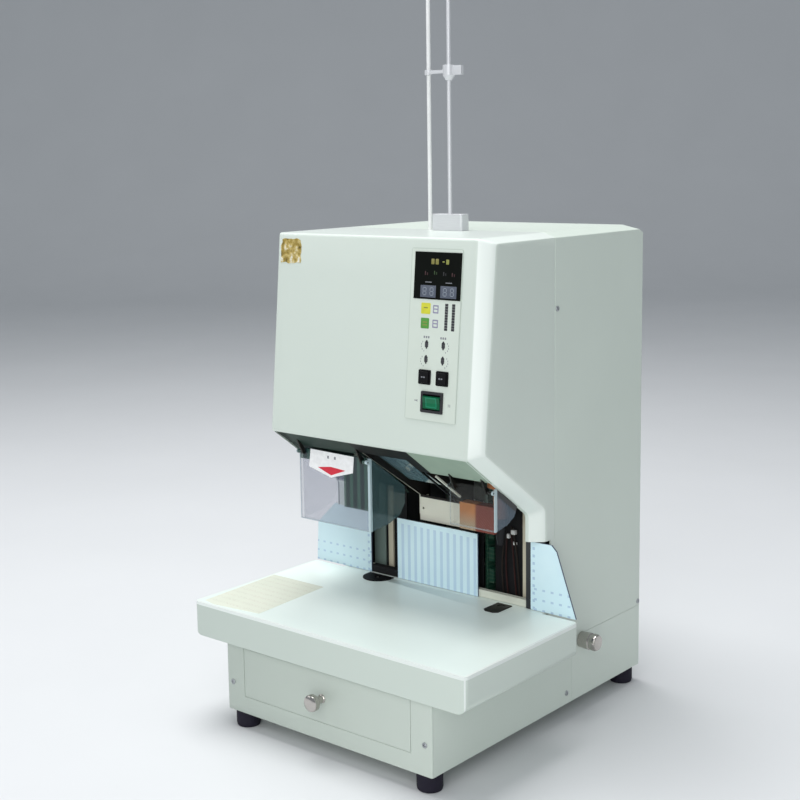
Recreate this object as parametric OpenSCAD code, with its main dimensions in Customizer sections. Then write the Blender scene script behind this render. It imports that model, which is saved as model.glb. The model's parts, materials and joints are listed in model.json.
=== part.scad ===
// Document riveting machine: a desk machine that drills a stack of papers at its left
// station and closes a nylon tube through the hole at its right station.
// Millimetres, +X right, +Y back, +Z up, origin at the bottom centre of the machine.
// Lengths "behind the front" are measured from the front wall of the base.

/* [Body] */
// Width of the base and of the column
body_w = 320; // [300:5:360]
// Depth of the base from its front wall to its back wall
body_d = 443; // [430:1:480]
// Height of the head's top face above the desk
body_h = 603; // [590:1:640]
// Height of the rubber feet
foot_h = 22; // [16:1:26]
// Radius of the rubber feet
foot_r = 15; // [12:0.5:18]
// Thickness of the sheet metal covers
skin = 2; // [1.5:0.1:2.5]
// Height of the seam between base and rear cover
base_seam_z = 103; // [98:1:106]
// Distance of the base's side seam behind the front
base_seam_y = 279; // [260:1:300]
// Distance of the head's side seam behind the front
head_seam_y = 240; // [238:1:250]
// Length of the chamfer at the top rear edge
rear_chamfer_l = 22; // [10:1:30]
// Height of the chamfer at the top rear edge
rear_chamfer_h = 10; // [5:1:15]
// Gap left at each seam
seam_gap = 0.4; // [0.3:0.1:0.8]

/* [Head] */
// Distance of the head's lower front edge behind the front
head_y = 88; // [80:1:96]
// Height of the head's lower front edge
head_z = 358; // [350:1:370]
// Lean of the head's front face
head_tilt = 5.4; // [3:0.1:7]
// Slope of the head's underside
head_slope = 36; // [33:0.5:39]
// Wall thickness of the moulded head cover
head_wall = 2.5; // [2:0.1:3]
// Width of the bevel beside the head's front face
bevel_w = 17; // [12:1:20]
// Depth of the bevel beside the head's front face
bevel_d = 12.5; // [8:0.5:15]
// Height of the bevel at the head's top edge
bevel_top = 6; // [3:1:8]
// Distance of the column's front behind the front
column_y = 208; // [204:1:212]
// Height of the lower end of the head cover
cheek_z = 238; // [236:1:244]

/* [Table] */
// Overall width of the work table
table_w = 420; // [400:5:450]
// Height of the work table's top face
table_z = 151; // [149:0.5:153]
// Height of the table's apron
apron_h = 43; // [38:1:45]
// Distance that the table stands before the base
table_lip = 6; // [4:1:10]
// Distance of the rear edge of the side overhangs behind the front
table_back = 215; // [205:1:217]
// Thickness of the table's top and apron
table_t = 4; // [3:0.5:5]
// Radius of the table's corners
table_r = 7; // [4:1:10]
// Radius of the lower end corners of the apron
apron_r = 12; // [8:1:16]

/* [Stations] */
// Distance of both stations behind the front
station_y = 207; // [205:1:208]
// Place of the drilling station, left of the middle
drill_x = 91; // [88:1:94]
// Place of the riveting station, right of the middle
rivet_x = 105; // [103:1:107]
// Working stroke of the drill and of the rivet head
stroke = 76; // [60:1:76]
// Height of the drill's tip above the table at rest
tip_clear = 77.5; // [77:0.5:79]
// Radius of the hollow drill
drill_r = 3.5; // [2.5:0.1:4]
// Bore radius of the hollow drill
drill_bore_r = 2.2; // [1.5:0.1:2.3]
// Radius of the guide columns
column_r = 8; // [6:0.5:9]
// Distance of the guide columns behind the front
columns_y = 262; // [260:1:266]
// Half the spacing of the drill's guide columns
drill_span = 36; // [34:1:38]
// Half the spacing of the rivet head's guide columns
rivet_span = 26; // [24:1:27]
// Running clearance of shafts and columns in their bores
run_clear = 0.05; // [0.03:0.01:0.08]
// Radius of the feed screws
screw_r = 6; // [5:0.5:6.5]
// Height of each carriage block
carriage_h = 70; // [60:1:76]
// Height of the carriage blocks' lower face at rest
carriage_z = 350; // [346:1:352]

/* [Fences] */
// Distance of the fences' front faces behind the front
fence_y = 219.5; // [218:0.5:220]
// Thickness of the fence plates
fence_t = 2.5; // [2:0.1:3]
// Height of the centre fence
fence_h = 80; // [70:1:83]
// Left end of the centre fence, left of the middle
fence_left = 67; // [60:1:68]
// Right end of the centre fence, right of the middle
fence_right = 61; // [56:1:63]
// Height of the cross bar that carries the fences
bar_h = 9; // [7:0.5:11]
// Depth of the cross bar
bar_d = 7; // [6:0.5:8]
// Travel of the fences backwards
fence_back = 6; // [4:1:6]
// Travel of the fences forwards
fence_fore = 3; // [1:1:4]
// Teeth of the pinion that moves the fences
pinion_teeth = 16; // [14:2:18]
// Module of the rack and pinion
gear_module = 1; // [0.8:0.1:1.1]
// Distance of the side knob behind the front
knob_y = 300; // [296:1:310]
// Height of the side knob
knob_z = 96; // [93:1:97]

/* [Guards] */
// Thickness of the clear guards
guard_t = 3; // [2:0.5:4]
// Width of the drill guard
drill_guard_w = 117; // [110:1:117]
// Height of the drill guard
drill_guard_h = 91.5; // [86:0.5:96]
// Distance of the drill guard behind the front
drill_guard_y = 119.5; // [117:0.5:124]
// Depth of the drill guard's cheeks
drill_guard_d = 66; // [55:1:68]
// Width of the rivet guard
rivet_guard_w = 66; // [60:1:67]
// Height of the rivet guard
rivet_guard_h = 51; // [45:0.5:55]
// Distance of the rivet guard behind the front
rivet_guard_y = 145; // [142:1:146]
// Depth of the rivet guard's cheeks
rivet_guard_d = 44; // [38:1:46]

/* [Drawer] */
// Width of the drawer's front
drawer_w = 260; // [220:5:270]
// Height of the drawer's front
drawer_h = 61; // [50:1:61]
// Height of the drawer's lower edge
drawer_z = 44; // [42:1:45]
// Depth of the waste box behind the drawer's front
drawer_d = 246; // [180:1:248]
// Radius of the drawer knob's head
knob_r = 10; // [8:0.5:12]
// Distance that the drawer knob stands out
knob_l = 22; // [18:1:26]

/* [Tube feed] */
// Place of the nylon tube, left of the middle
tube_x = 20; // [18:1:24]
// Distance of the tube and the guide rod behind the front
tube_y = 236; // [230:1:237]
// Radius of the nylon tube
tube_r = 2.5; // [2:0.1:3]
// Bore radius of the nylon tube
tube_bore_r = 1.6; // [1:0.1:1.8]
// Length of the nylon tube
tube_l = 460; // [300:10:500]
// Place of the guide rod, right of the middle
rod_x = 14; // [12:1:18]
// Radius of the guide rod
rod_r = 2.5; // [2:0.1:3]
// Length of the guide rod above its block
rod_l = 380; // [300:10:420]
// Height of the rod's block
block_h = 20; // [16:1:24]
// Height of the tube clip above the head's top
clip_z = 184; // [120:1:240]
// Radius of the feed rollers
roller_r = 9; // [8:0.5:10]
// Bend radius of the tube guide
guide_bend = 70; // [66:1:72]

/* [Control panel] */
// Width of the control panel
panel_w = 73; // [70:1:76]
// Height of the control panel
panel_h = 196; // [190:1:210]
// Thickness of the control panel
panel_t = 0.8; // [0.5:0.1:1.5]
// Side of the push buttons
button_w = 17; // [14:0.5:18]
// Travel of the push buttons
button_travel = 2; // [1:0.5:2.5]
// Width of the rocker switch's frame
rocker_w = 31; // [28:0.5:34]
// Height of the rocker switch's frame
rocker_h = 24; // [20:0.5:25]

/* [Hidden] */
$fn = 48;
e = 0.01; // how far a cut runs past a face

rear_stick = 3; // the rear cover's screw heads and inlet stand out by this
overall_d = knob_l + body_d + rear_stick;
front_y = knob_l - overall_d / 2; // the base's front wall in the machine's frame
half_w = body_w / 2;
flat_w = half_w - bevel_w; // half width of the head's flat front face
table_under = table_z - apron_h;
table_floor = table_z - table_t;
slope_t = tan(head_slope);
tilt_t = tan(head_tilt);
head_top_y = head_y + (body_h - head_z) * tilt_t;
touch = 0.2; // gap between pieces that are bolted together but not in one plane

module place() translate([0, front_y, 0]) children();

// a prism along X whose outline is given as [y, z] points
module along_x(x0, x1, outline) {
    translate([x0, 0, 0]) rotate([90, 0, 90]) linear_extrude(x1 - x0) polygon(outline);
}
// a prism along Y whose outline is given as [x, z] points
module along_y(y0, y1, outline) {
    translate([0, y1, 0]) rotate([90, 0, 0]) linear_extrude(y1 - y0) polygon(outline);
}
module block(x0, x1, y0, y1, z0, z1) {
    translate([x0, y0, z0]) cube([x1 - x0, y1 - y0, z1 - z0]);
}
module post(x, y, z0, z1, r) {
    translate([x, y, z0]) cylinder(r = r, h = z1 - z0);
}
module rod_x_axis(x0, x1, y, z, r) {
    translate([x0, y, z]) rotate([0, 90, 0]) cylinder(r = r, h = x1 - x0);
}
module rod_y_axis(y0, y1, x, z, r) {
    translate([x, y0, z]) rotate([-90, 0, 0]) cylinder(r = r, h = y1 - y0);
}
// a rectangle with round corners
module round_rect(x0, x1, y0, y1, r) {
    translate([x0 + r, y0]) square([x1 - x0 - 2 * r, y1 - y0]);
    translate([x0, y0 + r]) square([x1 - x0, y1 - y0 - 2 * r]);
    for (x = [x0 + r, x1 - r], y = [y0 + r, y1 - r]) translate([x, y]) circle(r);
}
// places its children on the head's front face: x, distance up the face, distance out of it
module on_face() {
    translate([0, head_y, head_z]) rotate([90 - head_tilt, 0, 0]) children();
}

// ---- base ----

foot_inset = foot_r + skin + touch; // a foot's axis from the base's sides
module rubber_feet() {
    color("midnightblue") place() for (x = [-1, 1], y = [foot_inset, body_d - foot_inset])
        translate([x * (half_w - foot_inset), y, 0]) {
            cylinder(r1 = foot_r - 1, r2 = foot_r, h = 4);
            translate([0, 0, 4]) cylinder(r = foot_r, h = foot_h - 4);
        }
}

module base_pan() {
    color("gainsboro") place() {
        // the floor, which the feet carry
        block(-half_w + skin + touch, half_w - skin - touch, skin + touch, base_seam_y + skin, foot_h,
            foot_h + skin);
        // rails that the waste box slides on
        for (x = [-box_left + 14, box_right - 26])
            block(x, x + 12, 3 * skin, drawer_d, foot_h + skin - e, drawer_z + 2 - 0.3);
        // the rear part of the floor and its upturned walls
        difference() {
            block(-half_w, half_w, base_seam_y + seam_gap, body_d, foot_h, base_seam_z);
            block(-half_w + skin, half_w - skin, base_seam_y - e, body_d - skin, foot_h + skin, body_h);
            rod_x_axis(half_w - 2 * skin, half_w + e, knob_y, knob_z, shaft_hole_r);
        }
    }
}

drawer_x = drawer_w / 2;
drawer_top = drawer_z + drawer_h;
drawer_gap = 0.8;
module front_shell() {
    color("honeydew") place() difference() {
        union() {
            block(-half_w, half_w, 0, table_back - touch, foot_h, table_floor - touch);
            block(-half_w, half_w, 0, base_seam_y, foot_h, base_seam_z);
        }
        block(-half_w + skin, half_w - skin, skin, base_seam_y + e, foot_h - e, body_h);
        block(-drawer_x - drawer_gap, drawer_x + drawer_gap, -e, skin + e,
            drawer_z - drawer_gap, drawer_top + drawer_gap);
    }
}

rear_low_y = column_y + 24; // the column's front edge behind the fences
module rear_outline() {
    polygon([[table_back + 1.5, base_seam_z + seam_gap], [table_back + 1.5, table_floor],
        [rear_low_y, table_floor], [rear_low_y, cheek_z],
        [head_seam_y + seam_gap, cheek_z], [head_seam_y + seam_gap, body_h],
        [body_d - rear_chamfer_l, body_h], [body_d, body_h - rear_chamfer_h],
            [body_d, base_seam_z + seam_gap]]);
}
// the column seen from the front: only its right top edge is bevelled, as the head's is
function bevelled_top(inset) = [[-half_w + inset, 0], [half_w - inset, 0],
    [half_w - inset, body_h - bevel_top - inset / 2], [flat_w - inset / 2, body_h - inset],
    [-half_w + inset, body_h - inset]];
module rear_cover() {
    color("honeydew") place() difference() {
        intersection() {
            translate([-half_w, 0, 0]) rotate([90, 0, 90]) linear_extrude(body_w) rear_outline();
            along_y(0, body_d + e, bevelled_top(0));
        }
        // the inside, open to the front and below
        intersection() {
            along_x(-half_w, half_w, [[table_back, base_seam_z], [table_back, table_z],
                [rear_low_y - 2, table_z], [rear_low_y - 2, body_h - skin],
                [body_d - rear_chamfer_l - skin / 2, body_h - skin],
                [body_d - skin, body_h - rear_chamfer_h - skin / 2], [body_d - skin, base_seam_z]]);
            along_y(0, body_d, bevelled_top(skin));
        }
        // ventilation slots in the back
        for (i = [0:vent_rows - 1], x = [-vent_x, vent_x])
            block(x - vent_w / 2, x + vent_w / 2, body_d - 2 * skin, body_d + e,
                vent_z + i * vent_pitch, vent_z + i * vent_pitch + vent_slot);
        // the inlet's cut-out
        block(-inlet_w / 2 - inlet_x, inlet_w / 2 - inlet_x, body_d - 2 * skin, body_d + e,
            inlet_z, inlet_z + inlet_h);
    }
}
vent_rows = 9;
vent_x = 70;
vent_w = 80;
vent_z = 420;
vent_pitch = 12;
vent_slot = 4.5;
inlet_w = 28;
inlet_h = 20;
inlet_x = 95;
inlet_z = 125;

module mains_inlet() {
    color("dimgray") place() translate([-inlet_x, body_d, inlet_z + inlet_h / 2]) rotate([-90, 0, 0])
        difference() {
        union() {
            translate([0, 0, -24]) linear_extrude(24) square([inlet_w - 1, inlet_h - 1], center = true);
            linear_extrude(rear_stick) round_centre(inlet_w + 20, inlet_h + 6, 3);
        }
        translate([0, 0, -16]) linear_extrude(16 + rear_stick)
            square([inlet_w - 5, inlet_h - 5], center = true);
    }
}
module round_centre(w, h, r) {
    round_rect(-w / 2, w / 2, -h / 2, h / 2, r);
}

// ---- head cover ----

// the head's side outline, moved inwards from the front, the slope and the top
function head_block(front, under, top) = [[head_y + front, head_z + front * slope_t_off + under],
    [head_top_y + front, body_h - top], [head_seam_y, body_h - top],
    [head_seam_y, head_z - (head_seam_y - head_y) * slope_t + under + front * slope_t_off]];
slope_t_off = -slope_t; // the slope falls as it goes back
column_top = head_z - (column_y - head_y) * slope_t; // where the slope meets the column
bevel_v = bevel_d / cos(head_slope); // the bevel's height on the slope
module slice(x, outline) along_x(x, x + e, outline);
module head_cover() {
    color("honeydew") place() difference() {
        union() {
            // the left edge is plain, the right one bevelled
            along_x(-half_w, flat_w, head_block(0, 0, 0));
            along_x(-half_w, -flat_w + cheek_w, cheek(0));
            hull() {
                slice(flat_w - 2 * e, head_block(0, 0, 0));
                slice(half_w - e, head_block(bevel_d, bevel_v, bevel_top));
            }
            hull() {
                slice(flat_w - cheek_w, cheek(0));
                slice(flat_w - 2 * e, cheek(0));
                slice(half_w - e, cheek(bevel_d));
            }
        }
        // the inside
        along_x(-flat_w, flat_w, [[head_y + head_wall, head_z - head_wall * slope_t - 40],
            [head_y + head_wall, head_z], [head_top_y + head_wall, body_h - head_wall],
            [head_seam_y + e, body_h - head_wall], [head_seam_y + e, cheek_z - e],
            [column_y + head_wall, cheek_z - e], [column_y + head_wall, column_top - 20]]);
        for (s = [0, 1]) mirror([s, 0, 0]) {
            deep = s > 0 ? head_wall : bevel_d + 4; // how far behind the front it begins
            roof = s > 0 ? body_h - head_wall : body_h - bevel_top - head_wall;
            along_x(flat_w - e, half_w - head_wall, [[head_y + deep, head_z + bevel_v],
                [head_top_y + deep - 1, roof], [head_seam_y + e, roof], [head_seam_y + e, cheek_z - e],
                [column_y + deep, cheek_z - e], [column_y + deep, column_top + bevel_v + 6]]);
        }
        // the work space below the slope
        block(-flat_w + cheek_w, flat_w - cheek_w, column_y - e, column_y + head_wall + 1, cheek_z - e,
            column_top + 4);
        // openings for the tube, the display and the switches
        post(-tube_x, tube_y, body_h - 2 * head_wall, body_h + e, tube_r + 1);
        on_face() for (c = [display_c, left_button_c, right_button_c, rocker_c])
            translate([c[0], c[1], -2 * head_wall]) linear_extrude(4 * head_wall)
                square([c[2] - 2, c[3] - 2], center = true);
    }
}
cheek_w = 5;
function cheek(back) = [[column_y + back, cheek_z], [column_y + back, column_top + bevel_v + 8],
    [head_seam_y, column_top + bevel_v + 8], [head_seam_y, cheek_z]];

// ---- underside ----

panel_left_y = drill_guard_y - 1.5; // rear edge of the front strip before the drill guard
panel_right_y = rivet_guard_y - 8;
trough_w = 74;
trough_y = 113;
under_t = 2;
function slope_z(y) = head_z - (y - head_y) * slope_t;
module slope_sheet(x0, x1, y0, y1) {
    along_x(x0, x1, [[y0, slope_z(y0) + touch], [y1, slope_z(y1) + touch],
        [y1, slope_z(y1) + touch + under_t / cos(head_slope)],
            [y0, slope_z(y0) + touch + under_t / cos(head_slope)]]);
}
module underside_panel() {
    inner = flat_w - touch;
    start = head_y + head_wall + touch;
    trough_x = trough_w / 2 + 0.3;
    color("darkseagreen") place() {
        slope_sheet(-inner, inner, start, trough_y - 1);
        slope_sheet(-inner, -trough_x, trough_y - 1 - e, panel_left_y);
        slope_sheet(trough_x, inner, trough_y - 1 - e, panel_right_y);
        slope_sheet(trough_x, trough_x + 2, panel_right_y - e, column_y);
        slope_sheet(-trough_x - 2, -trough_x, panel_left_y - e, column_y);
    }
}

rim = 3; // the trough's rims lie this far inside the slope
trough_back = 262;
trough_face_y = 229;
trough_low = 240;
trough_skin = 1.5;
function rim_z(y) = slope_z(trough_y) + rim - (y - trough_y) * (slope_t - 0.06);
module trough_cheek(x0) {
    along_x(x0, x0 + trough_skin, [[trough_y, rim_z(trough_y)], [trough_face_y, rim_z(trough_face_y)],
        [trough_face_y, trough_low], [trough_back - column_r * 2, trough_low],
        [trough_back - column_r * 2, rim_z(trough_face_y) + 60], [trough_y + 10, rim_z(trough_y) + 30],
        [trough_y, rim_z(trough_y) + 30]]);
}
module lamp_trough() {
    color("antiquewhite") place() {
        trough_cheek(-trough_w / 2);
        trough_cheek(trough_w / 2 - trough_skin);
        difference() {
            block(-trough_w / 2, trough_w / 2, trough_face_y, trough_face_y + trough_skin, trough_low,
                rim_z(trough_face_y));
            rod_y_axis(trough_face_y - e, trough_face_y + 2 * trough_skin, -trough_w / 2 + 6,
                trough_low + 8, 1.6);
        }
        // the roof that closes the trough above its lamp
        along_x(-trough_w / 2, trough_w / 2,
            [[trough_y, rim_z(trough_y) + 28], [trough_y + 10, rim_z(trough_y) + 28],
            [trough_back - column_r * 2, rim_z(trough_face_y) + 58],
                [trough_back - column_r * 2, rim_z(trough_face_y) + 60],
            [trough_y + 10, rim_z(trough_y) + 30], [trough_y, rim_z(trough_y) + 30]]);
    }
}
lens_in = 10; // the lens lies this far above the rims
module lamp_lens() {
    w = trough_w / 2 - trough_skin - touch;
    y0 = trough_y + 2;
    y1 = trough_y + 78;
    color("cadetblue", 0.6) place() along_x(-w, w, [[y0, rim_z(y0) + lens_in], [y1, rim_z(y1) + lens_in],
        [y1, rim_z(y1) + lens_in + 3], [y0, rim_z(y0) + lens_in + 3]]);
}

// ---- work table ----

module table_outline(grow) {
    round_rect(-table_w / 2 + grow, table_w / 2 - grow, -table_lip + grow, table_back - grow,
        table_r - grow / 2);
}
module apron_profile(grow) {
    x = table_w / 2 - grow;
    low = table_under + grow;
    translate([-x, low + apron_r]) square([2 * x, table_z - low - apron_r - grow]);
    translate([-x + apron_r, low]) square([2 * (x - apron_r), table_z - low - grow]);
    for (s = [-1, 1]) translate([s * (x - apron_r), low + apron_r]) circle(apron_r);
}
module table_solid(grow) {
    intersection() {
        translate([0, 0, table_under - e]) linear_extrude(apron_h + 2 * e) table_outline(grow);
        translate([0, body_d, 0]) rotate([90, 0, 0]) linear_extrude(2 * body_d) apron_profile(grow);
    }
}
pad_w = 40;
pad_y = 188; // the drill pad's round front
pad_back = fence_y - fence_fore - 1;
anvil_w = 21;
anvil_y = 182;
plate_t = 2.5; // the pad's and the anvil's thickness
plate_sink = 1; // they stand above the table by this much
rear_tongue = 245.5; // the table's rear edge between the column's walls
module table_recess(grow) {
    translate([0, 0, table_z - plate_t + plate_sink]) linear_extrude(plate_t) pad_outline(grow);
    translate([0, 0, table_z - plate_t + plate_sink]) linear_extrude(plate_t) anvil_outline(grow);
}
module work_table() {
    color("whitesmoke") place() difference() {
        union() {
            table_solid(0);
            block(-half_w + skin + touch, half_w - skin - touch, table_back - 20, rear_tongue,
                table_floor, table_z);
        }
        difference() {
            table_solid(table_t);
            block(-table_w, table_w, -body_d, body_d, table_floor, table_z);
        }
        // the middle is open below, where the base's walls stand
        block(-half_w - touch, half_w + touch, -touch, table_back + e, table_under - e, table_floor);
        table_recess(touch);
        post(-drill_x, station_y, table_floor - e, table_z, drill_r + 1.5);
        post(rivet_x, station_y, table_floor - e, table_z, lower_head_r + touch);
    }
}

module pad_outline(grow) {
    w = pad_w / 2 + grow;
    translate([-drill_x, 0]) {
        intersection() {
            translate([0, pad_y + pad_w / 2]) circle(w);
            translate([-w, pad_y - 1]) square([2 * w, pad_w / 2 + 1]);
        }
        translate([-w, pad_y + pad_w / 2]) square([2 * w, pad_back + grow - pad_y - pad_w / 2]);
    }
}
module drill_pad() {
    color([0.08, 0.08, 0.09]) place() difference() {
        translate([0, 0, table_z - plate_t + plate_sink + touch]) linear_extrude(plate_t - touch)
            pad_outline(0);
        post(-drill_x, station_y, table_floor, table_z + plate_t, drill_r + 0.8);
    }
}
module anvil_outline(grow) {
    w = anvil_w / 2 + grow;
    translate([rivet_x, 0]) {
        translate([-w, anvil_y + 4]) square([2 * w, pad_back + grow - anvil_y - 4]);
        polygon([[-w, anvil_y + 4 + e], [-w + 5, anvil_y - grow], [w - 5, anvil_y - grow],
            [w, anvil_y + 4 + e]]);
    }
}
module anvil_plate() {
    color([0.1, 0.1, 0.1]) place() difference() {
        translate([0, 0, table_z - plate_t + plate_sink + touch]) linear_extrude(plate_t - touch)
            anvil_outline(0);
        post(rivet_x, station_y, table_floor, table_z + plate_t, lower_tip_r + 0.8);
    }
}

// ---- frame inside ----

frame_t = 4;
frame_y0 = 246;
frame_y1 = body_d - 13;
bridge_z = 552;
bed_z = 110;
bed_t = 8;
side_x = half_w - skin - 2 * frame_t;
module side_frames() {
    color("silver") place() for (s = [-1, 1]) {
        x = s > 0 ? side_x : -side_x - frame_t;
        difference() {
            block(x, x + frame_t, frame_y0, frame_y1, foot_h + skin, bridge_z);
            for (z = [330, 450]) rod_x_axis(x - e, x + frame_t + e, 350, z, 30);
            if (s > 0) rod_x_axis(x - e, x + frame_t + e, knob_y, knob_z, shaft_r + run_clear);
        }
    }
}
module bed_plate() {
    color("slategray") place() difference() {
        block(-side_x + touch, side_x - touch, frame_y0, frame_y1 - 10, bed_z, bed_z + bed_t);
        for (x = column_places) post(x, columns_y, bed_z - e, bed_z + bed_t + e, column_r);
        for (x = [-drill_x, rivet_x]) post(x, columns_y, bed_z - e, bed_z + bed_t + e, screw_r + run_clear);
        // the notch that the fence rack runs in
        block(rack_x - 2, side_x, frame_y0 - e, knob_y + 40, bed_z - e, bed_z + bed_t + e);
    }
}
column_places = [-drill_x - drill_span, -drill_x + drill_span, rivet_x - rivet_span, rivet_x + rivet_span];
bridge_t = 10;
module top_bridge() {
    color("slategray") place() difference() {
        block(-side_x - frame_t, side_x + frame_t, frame_y0, columns_y + 40, bridge_z, bridge_z + bridge_t);
        for (x = column_places) post(x, columns_y, bridge_z - e, bridge_z + bridge_t + e, column_r);
        for (x = [-drill_x, rivet_x])
            post(x, columns_y, bridge_z - e, bridge_z + bridge_t + e, screw_r + run_clear);
    }
}
module guide_columns() {
    color("lightgray") place() for (x = column_places)
        post(x, columns_y, bed_z, bridge_z + bridge_t, column_r);
}
core = [90, 80, 60]; // the transformer's laminations
coil = [66, 104, 44]; // and the coil through them
core_y = frame_y1 - 60;
module transformer() {
    z = foot_h + skin;
    coil_z = z + (core.z - coil.z) / 2;
    color("dimgray") place() {
        block(-core.x / 2, core.x / 2, core_y - core.y / 2, core_y + core.y / 2, z, z + core.z);
        block(-coil.x / 2, coil.x / 2, core_y - coil.y / 2, core_y + coil.y / 2, coil_z, coil_z + coil.z);
    }
}
pcb_t = 1.6;
pcb_stand = 6; // how far it stands off the side frame
pcb = [120, 190]; // depth and height of the control board
pcb_c = [frame_y1 - 70, 345]; // its middle, behind the front and above the desk
capacitor = [9, 12.4]; // radius and length
module control_board() {
    x = -side_x + touch;
    face = x + pcb_stand + pcb_t;
    color("darkgreen") place() {
        for (sy = [-1, 1], sz = [-1, 1])
            rod_x_axis(x, x + pcb_stand, pcb_c.x + sy * (pcb.x / 2 - 10),
                pcb_c.y + sz * (pcb.y / 2 - 12), 3);
        block(x + pcb_stand, face, pcb_c.x - pcb.x / 2, pcb_c.x + pcb.x / 2,
            pcb_c.y - pcb.y / 2, pcb_c.y + pcb.y / 2);
        for (i = [-1:1])
            rod_x_axis(face, face + capacitor[1], pcb_c.x - 14 + i * 26, pcb_c.y - 55, capacitor[0]);
        // the heat sink
        block(face, face + 6.4, pcb_c.x - pcb.x / 4, pcb_c.x + pcb.x / 4, pcb_c.y + 5, pcb_c.y + 55);
    }
}
// the narrow board with the head's plugs, seen in the right gap
board_x = 62;
module terminal_board() {
    color("seagreen") place() {
        block(board_x, board_x + 1.6, 238, 254, table_z + 1, 300);
        block(board_x - 8, board_x, 246, 254, bed_z + bed_t, 300);
        for (i = [0:3]) block(board_x + 1.6, board_x + 8, 241, 250, 165 + i * 28, 183 + i * 28);
    }
}

// ---- control panel ----

panel_c = [89.5, 136]; // middle of the panel on the head's face
display_c = [91.7, 203, 66, 53]; // middle and size of each opening
left_button_c = [80, 88, button_w, button_w - 0.5];
right_button_c = [105, 88, button_w, button_w - 0.5];
rocker_c = [92, 60, rocker_w, rocker_h];
lamp_places = [[80.5, 125], [104.3, 125], [80.5, 108], [104.3, 108]];
lamp_r = 2.2;
module panel_plate() {
    color("lightsteelblue") place() on_face() difference() {
        translate([panel_c[0], panel_c[1], 0]) linear_extrude(panel_t) round_centre(panel_w, panel_h, 3);
        for (c = [display_c, left_button_c, right_button_c, rocker_c])
            translate([c[0], c[1], -1]) linear_extrude(panel_t + 2)
                square([c[2] + 0.6, c[3] + 0.6], center = true);
        for (p = lamp_places) translate([p[0], p[1], -1]) cylinder(r = lamp_r + touch, h = panel_t + 2);
    }
}
module display_window() {
    color([0.03, 0.03, 0.04]) place() on_face() translate([display_c[0], display_c[1], 0]) {
        linear_extrude(panel_t + 0.6) square([display_c[2], display_c[3]], center = true);
        translate([0, 0, -4]) linear_extrude(4 + e)
            square([display_c[2] - 4, display_c[3] - 16], center = true);
    }
}
module indicator_lamps() {
    color("firebrick") place() on_face() for (p = lamp_places) translate([p[0], p[1], 0]) {
        cylinder(r = lamp_r, h = panel_t + 0.4);
        translate([0, 0, panel_t + 0.4]) cylinder(r1 = lamp_r, r2 = lamp_r / 2, h = 0.6);
    }
}
board_back = 12; // the display board lies this far behind the face
module display_board() {
    color("darkgreen") place() on_face() {
        translate([panel_c[0], panel_c[1], -board_back]) linear_extrude(1.6) difference() {
            square([panel_w - 4, panel_h - 8], center = true);
            translate([rocker_c[0] - panel_c[0], rocker_c[1] - panel_c[1]])
                square([rocker_w, rocker_h], center = true);
        }
        for (x = [-1, 1], y = [-1, 1])
            translate([panel_c[0] + x * (panel_w / 2 - 6), panel_c[1] + y * (panel_h / 2 - 9),
            -board_back + 1.6])
            cylinder(r = 2.5, h = board_back - 1.6 - head_wall);
        for (c = [left_button_c, right_button_c])
            translate([c[0], c[1], -board_back + 1.6]) linear_extrude(3) square(6, center = true);
    }
}
button_out = 3;
module button(c) {
    color([0.1, 0.1, 0.11]) place() on_face() translate([c[0], c[1], 0]) {
        translate([0, 0, -button_foot]) linear_extrude(button_foot + button_out)
            square([c[2] - 3, c[3] - 3], center = true);
        translate([0, 0, button_out - 1]) linear_extrude(1.2) round_centre(c[2] - 2.6, c[3] - 2.6, 1);
    }
}
button_foot = board_back - 4.6 - button_travel - touch;
module left_button() button(left_button_c);
module right_button() button(right_button_c);
rocker_rim = 3;
module rocker_frame() {
    color([0.06, 0.06, 0.07]) place() on_face() translate([rocker_c[0], rocker_c[1], 0]) difference() {
        union() {
            linear_extrude(panel_t + 1.6) round_centre(rocker_w, rocker_h, 1.5);
            translate([0, 0, -16]) linear_extrude(16 + e)
                square([rocker_w - 3, rocker_h - 3], center = true);
        }
        translate([0, 0, -12]) linear_extrude(20)
            square([rocker_w - 2 * rocker_rim, rocker_h - 2 * rocker_rim], center = true);
        rocker_pin(0.1, run_clear);
    }
}
rocker_pivot = -4; // the rocker's pivot lies this far behind the face
rocker_gap = 1.4;
rocker_pin_r = 1.5;
// the pin that the rocker tilts on, its ends in the frame's walls
module rocker_pin(longer, wider) {
    l = rocker_w - 2 * rocker_rim + 2;
    translate([-l / 2 - longer, 0, rocker_pivot]) rotate([0, 90, 0])
        cylinder(r = rocker_pin_r + wider, h = l + 2 * longer);
}
rocker_throw = 16; // degrees between off and on
module power_rocker() {
    w = rocker_w - 2 * rocker_rim - 0.8;
    h = rocker_h / 2 - rocker_rim - rocker_gap;
    color("seagreen") place() on_face() translate([rocker_c[0], rocker_c[1], 0]) {
        translate([-w / 2, 0, rocker_pivot]) rotate([90, 0, 90]) linear_extrude(w) rotate(rocker_throw / 2)
            polygon([[-h, 4.5], [-h + 1, 7.2], [0, 6.6], [h - 1, 7.2], [h, 4.5], [2.5, -3], [-2.5, -3]]);
        rocker_pin(0, 0);
    }
}

// ---- tube feed ----

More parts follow.
